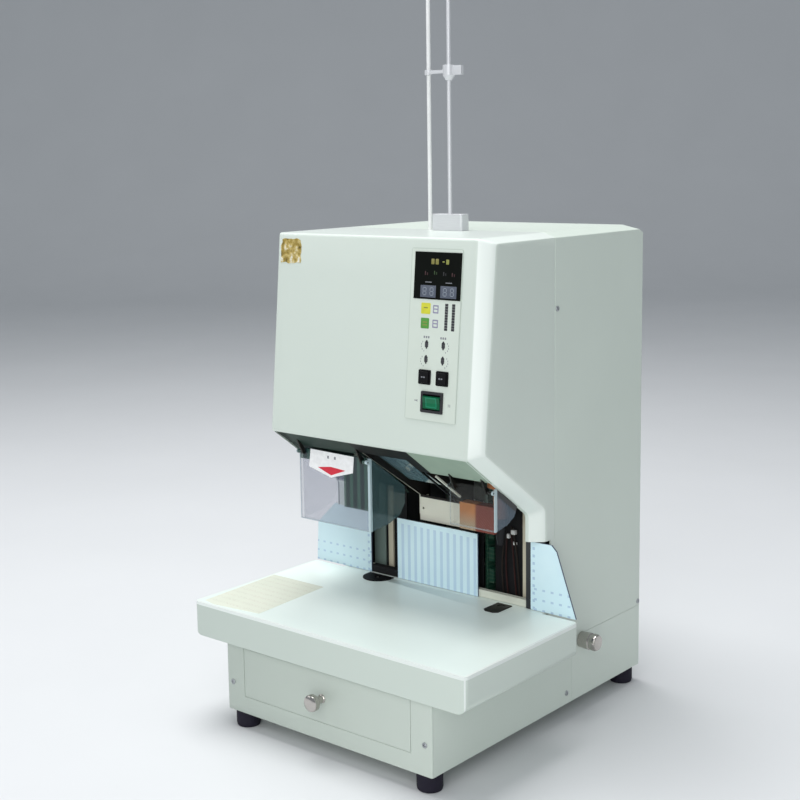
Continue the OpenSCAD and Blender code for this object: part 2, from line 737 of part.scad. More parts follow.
block_w = 46;
block_d = 26;
block_x = -8;
module rod_block() {
    color("lightgray") place() difference() {
        translate([0, 0, body_h]) linear_extrude(block_h)
            round_rect(block_x, block_x + block_w, tube_y - block_d / 2, tube_y + block_d / 2 - 10, 3);
        post(rod_x, tube_y - 4, body_h + 4, body_h + block_h + e, rod_r);
    }
}
rod_y = tube_y - 4;
rod_top = body_h + block_h + rod_l;
module guide_rod() {
    color("gainsboro") place() {
        post(rod_x, rod_y, body_h + 4, rod_top - 1, rod_r);
        translate([rod_x, rod_y, rod_top - 1]) cylinder(r1 = rod_r, r2 = rod_r - 1, h = 1);
    }
}
clip_h = 14;
clip_fit = 0.06;
module tube_clip() {
    z = body_h + clip_z;
    color("lightgray") place() difference() {
        union() {
            post(-tube_x, tube_y, z + 4, z + clip_h - 4, tube_r + 2.5);
            block(-tube_x, rod_x, tube_y - 4, tube_y, z + 5, z + clip_h - 5);
            translate([rod_x, rod_y, z - 4]) cylinder(r1 = rod_r + 1.5, r2 = rod_r + 5, h = 6);
            post(rod_x, rod_y, z + 2, z + clip_h, rod_r + 5);
            block(rod_x + rod_r + 2, rod_x + 20, rod_y - 2.5, rod_y + 2.5, z + 2, z + clip_h - 1);
        }
        post(rod_x, rod_y, z - 10, z + clip_h + e, rod_r + clip_fit);
        post(-tube_x, tube_y, z - 10, z + clip_h + e, tube_r + 0.3);
    }
}
nip_z = 577; // height of the feed rollers' axes
module nylon_tube() {
    z = nip_z - 4;
    color("white") place() difference() {
        post(-tube_x, tube_y, z, z + tube_l, tube_r);
        post(-tube_x, tube_y, z - e, z + tube_l + e, tube_bore_r);
    }
}
nip_gap = 0.05;
roller_x = tube_r + roller_r + nip_gap;
roller_axle = 3;
roller_y0 = tube_y - 8;
roller_y1 = tube_y + 6;
module feed_roller(side) {
    difference() {
        union() {
            rod_y_axis(roller_y0, roller_y1, -tube_x + side * roller_x, nip_z, roller_r);
            rod_y_axis(roller_y0 - 5, roller_y1 + 5, -tube_x + side * roller_x, nip_z, roller_axle);
        }
        for (i = [0:5]) rotate_about(-tube_x + side * roller_x, nip_z, i * 60)
            rod_y_axis(roller_y0 - e, roller_y0 + 3, roller_r * 0.62, 0, 1.2);
    }
}
module rotate_about(x, z, a) translate([x, 0, z]) rotate([0, a, 0]) children();
module drive_roller() color("dimgray") place() feed_roller(-1);
module pinch_roller() color("darkgray") place() feed_roller(1);
feed_w = 26;
module feed_frame() {
    color("silver") place() difference() {
        union() {
            for (y = [roller_y0 - 5, roller_y1 + 2])
                block(-tube_x - feed_w, -tube_x + feed_w, y, y + 3, nip_z - 14, nip_z + 14);
            block(-tube_x - feed_w, -tube_x + feed_w, roller_y1 + 5, frame_y0 + 14, nip_z - 14,
                nip_z - 12 + e);
            block(-tube_x - feed_w, -tube_x + feed_w, roller_y0 - 5, roller_y1 + 5, nip_z - 14, nip_z - 12);
            block(-tube_x - feed_w, -tube_x + feed_w, frame_y0 + 1, frame_y0 + 14, bridge_z + bridge_t,
                nip_z - 12 + e);
        }
        for (s = [-1, 1]) rod_y_axis(roller_y0 - 10, frame_y0 + 20, -tube_x + s * roller_x, nip_z,
            roller_axle + run_clear);
        post(-tube_x, tube_y, nip_z - 20, nip_z, tube_r + 0.6);
    }
}
module feed_motor() {
    color("dimgray") place() {
        rod_y_axis(roller_y1 + 5 + touch, frame_y0 + 42, -tube_x - roller_x, nip_z, 11);
        block(-tube_x - roller_x - 5, -tube_x - roller_x + 5, frame_y0 + 42, frame_y0 + 46, nip_z - 5,
            nip_z + 5);
    }
}
// the bent pipe that leads the tube from the rollers across to the rivet head
guide_r = tube_r + 1.5;
guide_top = nip_z - 14; // where it hangs from the feed frame
guide_dx = rivet_x + tube_x;
guide_dy = station_y - tube_y;
guide_run = sqrt(guide_dx * guide_dx + guide_dy * guide_dy);
guide_turn = atan2(guide_dy, guide_dx);
guide_angle = 60;
guide_straight = (guide_run - 2 * guide_bend * (1 - cos(guide_angle))) / sin(guide_angle);
guide_drop = 2 * guide_bend * sin(guide_angle) + guide_straight * cos(guide_angle);
module guide_ring() difference() {
    circle(guide_r);
    circle(tube_r + 0.4);
}
module guide_arc() rotate_extrude(angle = guide_angle) translate([guide_bend, 0]) guide_ring();
module tube_guide() {
    color("peru") place() translate([-tube_x, tube_y, guide_top]) rotate([0, 0, guide_turn]) {
        // first bend, straight, second bend, all in one upright plane
        translate([guide_bend, 0, 0]) rotate([90, 0, 0]) rotate([0, 0, 180]) guide_arc();
        translate([guide_bend * (1 - cos(guide_angle)), 0, -guide_bend * sin(guide_angle)])
            rotate([0, 180 - guide_angle, 0]) linear_extrude(guide_straight) guide_ring();
        translate([guide_run - guide_bend, 0, -guide_drop]) rotate([90, 0, 0]) guide_arc();
        translate([guide_run, 0, -guide_drop - 8]) linear_extrude(8) guide_ring();
    }
}

// ---- drill unit ----

spindle_r = 12;
housing_r = 22;
nut_r = screw_r + run_clear;
module carriage(x, span, side) {
    difference() {
        union() {
            block(x - span - side, x + span + side, columns_y - 16, columns_y + 16, carriage_z,
                carriage_z + carriage_h);
            block(x - 18, x + 18, station_y, columns_y - 15, carriage_z + 5, carriage_z + carriage_h - 5);
            post(x, station_y, carriage_z, carriage_z + carriage_h, housing_r);
        }
        for (s = [-1, 1]) post(x + s * span, columns_y, carriage_z - e, carriage_z + carriage_h + e,
            column_r + run_clear);
        post(x, columns_y, carriage_z - e, carriage_z + carriage_h + e, nut_r);
        post(x, station_y, carriage_z - e, carriage_z + carriage_h + e, spindle_r + run_clear);
    }
}
motor_y = 335;
motor_r = 32;
motor_top = carriage_z + carriage_h;
module drill_carriage() {
    color("lightsteelblue") place() {
        carriage(-drill_x, drill_span, 14);
        // the shelf that carries the motor
        difference() {
            block(-drill_x - 34, -drill_x + 34, columns_y + 16 - e, motor_y + 34, motor_top - 8, motor_top);
            post(-drill_x, motor_y, motor_top - 10, motor_top + e, 10);
        }
    }
}
module drill_motor() {
    color("dimgray") place() difference() {
        union() {
            post(-drill_x, motor_y, motor_top - 8 - 100, motor_top - 8, motor_r);
            post(-drill_x, motor_y, motor_top - 8, motor_top - 1, 9.5);
        }
        post(-drill_x, motor_y, motor_top - 30, motor_top + e, 4 + run_clear);
        for (i = [0:11]) translate([-drill_x, motor_y, motor_top - 96]) rotate([0, 0, i * 30])
            translate([motor_r, 0, 0]) cylinder(r = 1.8, h = 60);
    }
}
pulley_z = motor_top + 6;
pulley_h = 16;
pulley_r = 18;
belt_t = 2;
module pulley(x, y, bore) {
    difference() {
        union() {
            post(x, y, pulley_z, pulley_z + pulley_h, pulley_r);
            for (z = [pulley_z, pulley_z + pulley_h - 2]) post(x, y, z, z + 2, pulley_r + belt_t + 1);
        }
        if (bore > 0) post(x, y, pulley_z - e, pulley_z + pulley_h + e, bore);
    }
}
module motor_pulley() {
    color("silver") place() {
        pulley(-drill_x, motor_y, 0);
        post(-drill_x, motor_y, motor_top - 28, pulley_z + e, 4);
    }
}
module drill_spindle() {
    color("silver") place() difference() {
        union() {
            pulley(-drill_x, station_y, 0);
            post(-drill_x, station_y, carriage_z - 4, pulley_z + e, spindle_r);
            post(-drill_x, station_y, carriage_z - chuck_h, carriage_z - 2, spindle_r + 3);
            post(-drill_x, station_y, carriage_z + carriage_h + 0.5, pulley_z + e, spindle_r + 1);
        }
        post(-drill_x, station_y, carriage_z - chuck_h - e, pulley_z + pulley_h + e, drill_bore_r + 2);
    }
}
chuck_h = 34;
belt_z = pulley_z + 3;
module drive_belt() {
    color([0.1, 0.1, 0.1]) place() translate([-drill_x, 0, belt_z]) linear_extrude(pulley_h - 6)
        difference() {
        belt_outline(pulley_r + belt_t);
        belt_outline(pulley_r + 0.1);
    }
}
module belt_outline(r) {
    for (y = [station_y, motor_y]) translate([0, y]) circle(r);
    translate([-r, station_y]) square([2 * r, motor_y - station_y]);
}
module hollow_drill() {
    tip = table_z + tip_clear;
    color("lightgray") place() difference() {
        union() {
            post(-drill_x, station_y, tip + 3, carriage_z - chuck_h + 20, drill_r);
            translate([-drill_x, station_y, tip])
                cylinder(r1 = drill_bore_r + 0.15, r2 = drill_r, h = 3 + e);
            post(-drill_x, station_y, tip + 48, carriage_z - chuck_h, drill_r + 3);
        }
        post(-drill_x, station_y, tip - e, carriage_z, drill_bore_r);
    }
}
screw_foot = bed_z + bed_t - 6;
module feed_screw(x) {
    post(x, columns_y, screw_foot, bridge_z + bridge_t + 4, screw_r);
}
module drill_feed_screw() color("lightgray") place() feed_screw(-drill_x);
module rivet_feed_screw() color("lightgray") place() feed_screw(rivet_x);
module screw_motors() {
    z = bridge_z + bridge_t;
    color("dimgray") place() for (x = [-drill_x, rivet_x]) difference() {
        union() {
            translate([x, columns_y, z]) linear_extrude(6) round_centre(46, 46, 4);
            post(x, columns_y, z + 6 - e, z + 30, 21);
        }
        post(x, columns_y, z - e, z + 12, screw_r + run_clear);
    }
}

// ---- rivet unit ----

punch_r = 12;
punch_low = 12;
lower_head_r = 9;
lower_tip_r = 4;
module rivet_carriage() {
    color("lightsteelblue") place() carriage(rivet_x, rivet_span, 11.5);
}
module rivet_punch() {
    tip = table_z + tip_clear;
    color("chocolate") place() difference() {
        union() {
            post(rivet_x, station_y, carriage_z - 2, carriage_z + carriage_h, spindle_r);
            post(rivet_x, station_y, carriage_z - 50, carriage_z - 0.3, punch_r + 4);
            post(rivet_x, station_y, tip + 30, carriage_z - 50, punch_low - 3);
            translate([rivet_x, station_y, tip]) cylinder(r1 = lower_tip_r, r2 = punch_low - 3, h = 30 + e);
        }
        post(rivet_x, station_y, tip - e, carriage_z + carriage_h + 20, tube_r + 0.3);
        // the funnel that takes the guide's end
        translate([rivet_x, station_y, carriage_z + carriage_h - 24])
            cylinder(r1 = guide_r + 1, r2 = spindle_r - 2, h = 24 + e);
    }
}
module lower_rivet_head() {
    color("chocolate") place() {
        post(rivet_x, station_y, table_floor - 26, table_z - plate_t + plate_sink, lower_head_r);
        post(rivet_x, station_y, table_z - plate_t + plate_sink - e, table_z + plate_sink - 0.5,
            lower_tip_r);
        post(rivet_x, station_y, table_floor - 50, table_floor - 26, lower_head_r + 5);
        // the arm that holds it to the bed plate
        block(rivet_x - 14, rivet_x + 14, station_y, frame_y0, table_floor - 46, table_floor - 36);
        block(rivet_x - 14, rivet_x + 14, frame_y0 - 8, frame_y0 + 12, table_floor - 46, bed_z);
    }
}

// ---- guards ----

drill_guard_off = 7; // the guards' middles lie this far right of their stations
rivet_guard_off = 4;
// a clear box open above and behind: a front plate and two cheeks that follow the slope
module guard(x, w, y, h, d) {
    top = guard_top(y);
    low = top - h;
    back_z = slope_z(y + d) - 1;
    for (s = [-1, 1]) translate([s > 0 ? x + w / 2 - guard_t : x - w / 2, 0, 0])
        along_x(0, guard_t, [[y, low], [y + d * 0.55, low + 4], [y + d * 0.85, low + 11], [y + d, low + 24],
            [y + d, max(back_z, low + 26)], [y + 4, slope_z(y + 4) - 1.5], [y, top]]);
    block(x - w / 2, x + w / 2, y, y + guard_t, low, top);
    // knuckles for the hinge pins
    for (s = [-1, 1]) translate([s > 0 ? x + w / 2 - knuckle_w : x - w / 2, 0, 0]) {
        block(0, knuckle_w, y - pin_out, y + e, top - pin_down - knuckle_r, top - pin_down + knuckle_r);
        rod_x_axis(0, knuckle_w, y - pin_out, top - pin_down, knuckle_r);
    }
}
pin_r = 1.2;
pin_out = 3; // the hinge pins lie this far before the guard's face
pin_down = 4; // and this far below its top
knuckle_w = 8;
knuckle_r = 2.6;
function guard_top(y) = slope_z(y + guard_t) - 0.5;
function pin_z(y) = guard_top(y) - pin_down;
module guard_bores(x, w, y) {
    rod_x_axis(x - w / 2 - e, x + w / 2 + e, y - pin_out, pin_z(y), pin_r + run_clear);
}
module drill_guard() {
    color("lightcyan", 0.4) place() difference() {
        guard(-drill_x + drill_guard_off, drill_guard_w, drill_guard_y, drill_guard_h, drill_guard_d);
        guard_bores(-drill_x + drill_guard_off, drill_guard_w, drill_guard_y);
    }
}
module rivet_guard() {
    color("lightcyan", 0.4) place() difference() {
        guard(rivet_x + rivet_guard_off, rivet_guard_w, rivet_guard_y, rivet_guard_h, rivet_guard_d);
        guard_bores(rivet_x + rivet_guard_off, rivet_guard_w, rivet_guard_y);
    }
}
module hinge_pin(x, w, y) {
    py = y - pin_out;
    z = pin_z(y);
    for (s = [-1, 1]) mirror([s < 0 ? 1 : 0, 0, 0]) {
        edge = s * x + w / 2;
        rod_x_axis(edge - knuckle_w - 3, edge - 0.5, py, z, pin_r);
        // the lug that hangs from the underside panel and holds the pin
        along_x(edge - knuckle_w - 3, edge - knuckle_w - 1, [[py - 12, slope_z(py - 12) + touch],
            [py - 6, slope_z(py - 6) + touch], [py + 2.6, z + 2.6], [py + 2.6, z - 1], [py + 1, z - 2.6],
            [py - 1, z - 2.6], [py - 2.6, z - 1]]);
    }
}
module hinge_pins() {
    color("silver") place() {
        hinge_pin(-drill_x + drill_guard_off, drill_guard_w, drill_guard_y);
        hinge_pin(rivet_x + rivet_guard_off, rivet_guard_w, rivet_guard_y);
    }
}

// ---- fences ----

fence_z = table_z + 0.6;
module centre_fence() {
    color("lightblue") place()
        block(-fence_left, fence_right, fence_y, fence_y + fence_t, fence_z, fence_z + fence_h);
}
module left_fence() {
    color("lightblue") place()
        along_y(fence_y, fence_y + fence_t, [[-drill_x - 21, fence_z], [-table_w / 2 + 1, fence_z],
        [-table_w / 2 + 4, fence_z + 53], [-table_w / 2 + 35, fence_z + 83],
            [-drill_x - 21, fence_z + 83]]);
}
module right_fence() {
    color("lightblue") place() {
        along_y(fence_y, fence_y + fence_t,
            [[rivet_x + 35, fence_z], [table_w / 2 - 7, fence_z], [table_w / 2 - 34, fence_z + 77],
            [table_w / 2 - 41, fence_z + 84], [rivet_x + 35, fence_z + 84]]);
        block(rivet_x + 28, rivet_x + 35 + e, fence_y, fence_y + fence_t, fence_z, fence_z + 84);
    }
}
bar_y = fence_y + fence_t;
bar_l = half_w - skin - 6;
module fence_bar() {
    color("antiquewhite") place() {
        block(-bar_l, bar_l, bar_y, bar_y + bar_d, fence_z, fence_z + bar_h);
        // uprights that stiffen the fence plates
        for (x = [-fence_left + 10, fence_right - 14])
            block(x, x + 4, bar_y, bar_y + 5, fence_z + bar_h - e, fence_z + fence_h - 22);
    }
}
rack_x = rivet_x + rivet_span + column_r + 3;
rack_t = 4;
pitch_r = gear_module * pinion_teeth / 2;
rack_line = knob_z + pitch_r;
tooth = PI * gear_module;
module rack_teeth(n) {
    for (i = [-n:n]) translate([(i + 0.5) * tooth, 0])
        polygon([[-0.24 * tooth, 1.2 * gear_module], [-0.10 * tooth, -0.9 * gear_module],
            [0.10 * tooth, -0.9 * gear_module], [0.24 * tooth, 1.2 * gear_module]]);
}
module fence_rack() {
    top = fence_z + bar_h;
    color("silver") place() {
        along_x(rack_x, rack_x + rack_t,
            [[bar_y + bar_d, fence_z], [bar_y + bar_d, top], [knob_y + 24, top],
            [knob_y + 24, rack_line + 1.1 * gear_module], [knob_y - 24, rack_line + 1.1 * gear_module],
                [knob_y - 24, fence_z]]);
        translate([rack_x, knob_y, rack_line]) rotate([90, 0, 90]) linear_extrude(rack_t) rack_teeth(6);
    }
}
shaft_r = 4;
shaft_hole_r = shaft_r + 1;
side_knob_r = 10;
module pinion_outline() {
    root = pitch_r - 1.15 * gear_module;
    circle(root);
    for (i = [0:pinion_teeth - 1]) rotate(i * 360 / pinion_teeth)
        polygon([[root - 0.5, -0.26 * tooth], [pitch_r + 0.85 * gear_module, -0.10 * tooth],
            [pitch_r + 0.85 * gear_module, 0.10 * tooth], [root - 0.5, 0.26 * tooth]]);
}
module fence_shaft() {
    color("silver") place() {
        rod_x_axis(rack_x - 6, half_w + 4, knob_y, knob_z, shaft_r);
        translate([rack_x - 0.5, knob_y, knob_z]) rotate([90, 0, 90]) linear_extrude(rack_t + 1)
            pinion_outline();
        rod_x_axis(half_w + 0.5, half_w + 9, knob_y, knob_z, side_knob_r);
        rod_x_axis(half_w + 9 - e, half_w + 15, knob_y, knob_z, side_knob_r - 4);
        rod_x_axis(half_w + 15 - e, half_w + 25, knob_y, knob_z, side_knob_r - 1);
    }
}

// ---- waste drawer ----

box_left = drawer_x - 5;
box_right = 55;
box_top = 100;
sheet = 1.2;
module waste_drawer() {
    color("honeydew") place() {
        block(-drawer_x, drawer_x, 0, skin, drawer_z, drawer_top);
        difference() {
            block(-box_left, box_right, skin - e, drawer_d, drawer_z + 2, box_top);
            block(-box_left + sheet, box_right - sheet, skin + sheet, drawer_d - sheet,
                drawer_z + 2 + sheet, box_top + e);
        }
    }
}
module drawer_knob() {
    x = -2;
    z = 73;
    color("silver") place() {
        rod_y_axis(-knob_l + 9, 0, x, z, 4.5);
        translate([x, -knob_l + 9, z]) rotate([90, 0, 0]) cylinder(r1 = knob_r - 2, r2 = knob_r, h = 3);
        rod_y_axis(-knob_l + 2, -knob_l + 6 + e, x, z, knob_r);
        translate([x, -knob_l + 2, z]) rotate([90, 0, 0]) cylinder(r1 = knob_r, r2 = knob_r - 3, h = 2);
    }
}

// ---- fasteners ----

head_r = 3;
head_t = 1.6;
module screw_side(s, y, z) {
    if (s > 0) rod_x_axis(half_w, half_w + head_t, y, z, head_r);
    else rod_x_axis(-half_w - head_t, -half_w, y, z, head_r);
}
module cover_screws() {
    color("darkgray") place() {
        for (s = [-1, 1]) {
            rod_y_axis(-head_t, 0, s * (half_w - 10), foot_h + 36, head_r);
            screw_side(s, head_seam_y + 5, body_h - 89);
            screw_side(s, body_d - 5, base_seam_z + 6);
            screw_side(s, base_seam_y - 12, foot_h + 14);
            for (t = [0.115, 0.515, 0.915]) // as shares of the rear cover's height
                rod_y_axis(body_d, body_d + head_t, s * (half_w - 12),
                    base_seam_z + t * (body_h - base_seam_z), head_r);
            rod_y_axis(body_d, body_d + head_t, s * (half_w - 12), foot_h + 20, head_r);
        }
    }
}

base_pan();
front_shell();
rear_cover();
head_cover();
underside_panel();
work_table();
rubber_feet();
drill_pad();
anvil_plate();
cover_screws();
mains_inlet();
side_frames();
bed_plate();
top_bridge();
guide_columns();
transformer();
control_board();
terminal_board();
lamp_trough();
lamp_lens();
panel_plate();
display_window();
display_board();
indicator_lamps();
rocker_frame();
power_rocker();
left_button();
right_button();
rod_block();
guide_rod();
tube_clip();
nylon_tube();
tube_guide();
feed_frame();
feed_motor();
drive_roller();
pinch_roller();
drill_carriage();
drill_motor();
motor_pulley();
drive_belt();
drill_spindle();
hollow_drill();
drill_feed_screw();
screw_motors();
rivet_carriage();
rivet_punch();
rivet_feed_screw();
lower_rivet_head();
drill_guard();
rivet_guard();
centre_fence();
left_fence();
right_fence();
fence_bar();
fence_rack();
fence_shaft();
waste_drawer();
drawer_knob();
hinge_pins();
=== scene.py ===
import json
import math

import bmesh
import bpy
import numpy as np
from mathutils import Matrix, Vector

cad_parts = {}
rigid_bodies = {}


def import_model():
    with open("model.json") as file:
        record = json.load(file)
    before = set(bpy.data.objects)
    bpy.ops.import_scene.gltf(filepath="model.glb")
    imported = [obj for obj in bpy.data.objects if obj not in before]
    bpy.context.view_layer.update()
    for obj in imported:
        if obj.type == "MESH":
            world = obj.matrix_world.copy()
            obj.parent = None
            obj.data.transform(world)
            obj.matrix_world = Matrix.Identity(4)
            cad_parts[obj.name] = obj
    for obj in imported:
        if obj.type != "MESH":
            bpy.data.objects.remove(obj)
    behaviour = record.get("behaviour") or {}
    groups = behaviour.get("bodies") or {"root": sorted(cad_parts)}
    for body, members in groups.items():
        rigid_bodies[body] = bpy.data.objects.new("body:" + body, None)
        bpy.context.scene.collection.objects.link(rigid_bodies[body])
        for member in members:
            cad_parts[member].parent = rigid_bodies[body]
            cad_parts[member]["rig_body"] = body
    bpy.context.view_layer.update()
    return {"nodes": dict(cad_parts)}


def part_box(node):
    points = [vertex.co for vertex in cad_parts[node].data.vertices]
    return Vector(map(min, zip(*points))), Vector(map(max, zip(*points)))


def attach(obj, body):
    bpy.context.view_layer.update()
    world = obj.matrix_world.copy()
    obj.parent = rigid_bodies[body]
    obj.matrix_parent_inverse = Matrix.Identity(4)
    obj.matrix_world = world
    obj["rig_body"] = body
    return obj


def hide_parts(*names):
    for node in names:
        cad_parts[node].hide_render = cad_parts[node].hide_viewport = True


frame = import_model()
nodes = frame["nodes"]
print("frame loaded,", len(nodes), "nodes")

# finishes are placed in metres, as their object coordinates are, and shapes in millimetres through mm()
frontY = -0.212  # where the base's front wall stands
faceLean = math.radians(5.4)  # the head's front face leans back by this
faceFoot = (88, 358)  # millimetres back and up to the face's lower edge
slopeFall = 0.7267  # the head's underside falls by this for each millimetre back


def rowY(y):
    # metres in the machine's frame for millimetres behind the base's front wall
    return y / 1000 + frontY


def mm(x, y, z):
    # millimetres to the machine's metres; y counts back from the base's front wall
    return np.array([x / 1000, rowY(y), z / 1000])


def onFace(x, up, out=0.0):
    # a point on the head's front face: x, distance up the face, distance out of it
    back, rise = faceFoot
    return mm(x, back + up * math.sin(faceLean) - out * math.cos(faceLean),
              rise + up * math.cos(faceLean) + out * math.sin(faceLean))


faceUp = np.array([0, math.sin(faceLean), math.cos(faceLean)])
faceOut = np.array([0, -math.cos(faceLean), math.sin(faceLean)])
rightWay, backWay, upWay = np.eye(3)


class Value:
    # one output of a shader node: arithmetic on it adds the Math nodes it needs
    def __init__(self, finish, socket):
        self.finish = finish
        self.socket = socket

    def __rsub__(self, other):
        return self.finish.sum("SUBTRACT", other, self)

    def __abs__(self):
        return self.finish.sum("ABSOLUTE", self)

    def held(self):
        # kept between 0 and 1
        return self.finish.node("Clamp", None, {0: self})


operators = {"__add__": "ADD", "__radd__": "ADD", "__sub__": "SUBTRACT", "__mul__": "MULTIPLY",
             "__rmul__": "MULTIPLY", "__mod__": "FLOORED_MODULO", "__lt__": "LESS_THAN",
             "__gt__": "GREATER_THAN", "most": "MAXIMUM"}
for name, work in operators.items():
    setattr(Value, name, lambda self, other, work=work: self.finish.sum(work, self, other))


class Finish:
    # a material with one Principled shader, and the patterns that this machine's finishes share
    def __init__(self, name, **fixed):
        self.material = bpy.data.materials.new(name)
        self.material.use_nodes = True
        self.tree = self.material.node_tree
        self.tree.nodes.clear()
        self.shader = self.tree.nodes.new("ShaderNodeBsdfPrincipled")
        output = self.tree.nodes.new("ShaderNodeOutputMaterial")
        self.tree.links.new(self.shader.outputs[0], output.inputs[0])
        for key, value in fixed.items():
            self.set(key.replace("_", " "), value)

    def set(self, key, value):
        socket = self.shader.inputs[key]
        if isinstance(value, Value):
            self.tree.links.new(value.socket, socket)
        else:
            isColour = isinstance(value, (tuple, list)) and len(value) == 3
            socket.default_value = (*value, 1) if isColour else value
        return self

    def paint(self, tone):
        return self.set("Base Color", tone)

    def node(self, kind, settings=None, values=None, out=0):
        made = self.tree.nodes.new("ShaderNode" + kind)
        for key, value in (settings or {}).items():
            setattr(made, key, value)
        for key, value in (values or {}).items():
            if isinstance(value, Value):
                self.tree.links.new(value.socket, made.inputs[key])
            else:
                made.inputs[key].default_value = value
        return Value(self, made.outputs[out])

    def sum(self, work, *terms):
        return self.node("Math", {"operation": work}, dict(enumerate(terms)))

    def place(self):
        return self.node("TexCoord", out=3)

    def axis(self, way):
        return self.node("SeparateXYZ", None, {0: self.place()}, out=way)

    def upFace(self):
        # metres up the head's leaning front face
        return (self.axis(2) - faceFoot[1] / 1000) * (1 / math.cos(faceLean))

    def noise(self, scale, detail=3.0, stretch=(1, 1, 1)):
        where = self.node("Mapping", None, {"Vector": self.place(), "Scale": stretch})
        return self.node("TexNoise", None, {"Vector": where, "Scale": scale, "Detail": detail})

    def mix(self, share, under, over):
        under, over = [v if isinstance(v, Value) else (*v, 1) for v in (under, over)]
        return self.node("Mix", {"data_type": "RGBA"}, {0: share, 6: under, 7: over}, out=2)

    def clouds(self, tone, low, high, scale, detail=4.0):
        # the tone, made darker and lighter in patches
        return self.mix(self.noise(scale, detail), darker(tone, low), darker(tone, high))

    def ramp(self, share, stops):
        made = self.node("ValToRGB", None, {0: share})
        band = made.socket.node.color_ramp.elements
        while len(band) < len(stops):
            band.new(0.5)
        for stop, (place, tone) in zip(band, stops):
            stop.position, stop.color = place, (*tone, 1)
        return made

    def close(self, rough, height, depth):
        # the last touch, gloss and a bump, gives the material
        bump = self.node("Bump", None, {"Height": height, "Distance": depth})
        return self.set("Roughness", rough).set("Normal", bump).material

    def skin(self, rough, spread, patch, grain, depth, detail=2.0):
        # closes with gloss that varies in patches over a fine grain
        return self.close(rough + spread * self.noise(patch), self.noise(grain, detail), depth)


def darker(tone, share):
    # each part of the tone times the share
    return tuple(c * share for c in tone)


def coat(name, tone, rough=0.42, orange=0.00006, grain=520.0, cloud=0.05):
    # sprayed paint: faint clouds of tone, orange-peel bumps and a slightly uneven gloss
    f = Finish(name, Coat_Weight=0.15, Coat_Roughness=0.26)
    f.paint(f.clouds(tone, 1 - cloud, 1 + cloud * 0.6, 7.0))
    return f.skin(rough - 0.06, 0.12, 45.0, grain, orange)


def moulded(name, tone, rough=0.5, grain=1400.0, depth=0.00004, gloss=0.5):
    # plastic with a fine spark-eroded grain
    f = Finish(name, Specular_IOR_Level=gloss)
    f.paint(f.clouds(tone, 0.9, 1.08, 25.0, 3.0))
    return f.skin(rough - 0.05, 0.1, 120.0, grain, depth)


def rubbery(name, tone, gloss=0.3):
    # matt rubber, patchy in tone over a coarse grain
    f = Finish(name, Specular_IOR_Level=gloss)
    f.paint(f.clouds(tone, 0.7, 1.4, 60.0))
    return f.skin(0.66, 0.15, 200.0, 420.0, 0.00008, detail=3.0)


def turned(name, tone, rough=0.28, stretch=(1, 1, 60), metal=1.0):
    # machined metal: fine tool marks that run round or along the piece
    f = Finish(name, Metallic=metal)
    marks = f.noise(70.0, 5.0, stretch)
    f.paint(f.mix(marks, darker(tone, 0.8), tone))
    return f.close(rough - 0.08 + 0.2 * marks, marks, 0.00002)


def circuit(name, tone):
    # a board: solder mask over raised copper tracks, which are the crests of a wandering wave
    f = Finish(name, Coat_Weight=0.4, Coat_Roughness=0.15)
    wave = f.node("TexWave", {"bands_direction": "Z"},
                  {"Vector": f.place(), "Scale": 60.0, "Distortion": 5.0, "Detail": 1.0})
    tracks = wave > 0.72
    f.paint(f.mix(tracks, tone, (tone[0] * 1.8 + 0.02, tone[1] * 1.5, tone[2] * 1.6)))
    return f.close(0.35 + 0.1 * f.noise(90.0), tracks, 0.00003)


def printed(name, tone, rough=0.45, glow=0.0):
    # ink or thin film: slightly patchy cover over a fine weave
    f = Finish(name, Coat_Weight=0.25, Coat_Roughness=0.2)
    ink = f.clouds(tone, 0.82, 1.1, 180.0)
    f.paint(ink)
    if glow:
        f.set("Emission Color", ink).set("Emission Strength", glow)
    return f.skin(rough - 0.05, 0.1, 300.0, 900.0, 0.00001)


def panelFilm():
    # the control panel's film: a pale field with a thin darker line round its rim
    f = Finish("panelFilm", Coat_Weight=0.3, Coat_Roughness=0.25)
    middle, half, rimWide = (0.0895, 0.136), (0.0365, 0.098), 0.0011
    across = abs(f.axis(0) - middle[0]) - half[0]
    upward = abs(f.upFace() - middle[1]) - half[1]
    rim = across.most(upward) > -rimWide
    field = f.mix(f.noise(30.0), (0.585, 0.645, 0.575), (0.635, 0.70, 0.625))
    f.paint(f.mix(rim, field, (0.51, 0.575, 0.51)))
    return f.skin(0.36, 0.1, 200.0, 1200.0, 0.00001)


def undersidePaintAndShade():
    # sage paint on the right of the head's underside, painted shade on its left, black painted shade over the
    # lamp's opening
    f = Finish("undersidePaintAndShade", Specular_IOR_Level=0.15)
    x, patches, start, end = f.axis(0), f.noise(40.0), -0.0365, 0.0545
    # painted shade: the left tones are darkened where the head's underside lies in shade
    left = f.mix(patches, (0.008, 0.022, 0.017), (0.018, 0.042, 0.032))
    right = f.mix(patches, (0.26, 0.34, 0.27), (0.33, 0.42, 0.33))
    f.paint(f.mix((x > start) * (x < end), f.mix(x > end, left, right), (0.006, 0.007, 0.007)))
    return f.skin(0.5, 0.1, 90.0, 520.0, 0.00005)


def troughPaintAndShade():
    # cream on the rims and the back plate; black painted shade between the cheeks and on the right cheek
    f = Finish("troughPaintAndShade", Specular_IOR_Level=0.2)
    x, ahead, rimFrom = f.axis(0), f.axis(1) < rowY(228.6), 0.2625
    inside = (abs(x) < 0.0357) * ahead.most(f.axis(2) > rimFrom)
    cream = f.mix(f.noise(30.0), (0.70, 0.70, 0.59), (0.79, 0.78, 0.67))
    # painted shade: the right cheek's faces are black
    cheek = ((x > 0.0352) * ahead).most(x > 0.0368)
    f.paint(f.mix(inside.most(cheek), cream, (0.014, 0.013, 0.012)))
    return f.skin(0.45, 0.15, 80.0, 520.0, 0.00005)


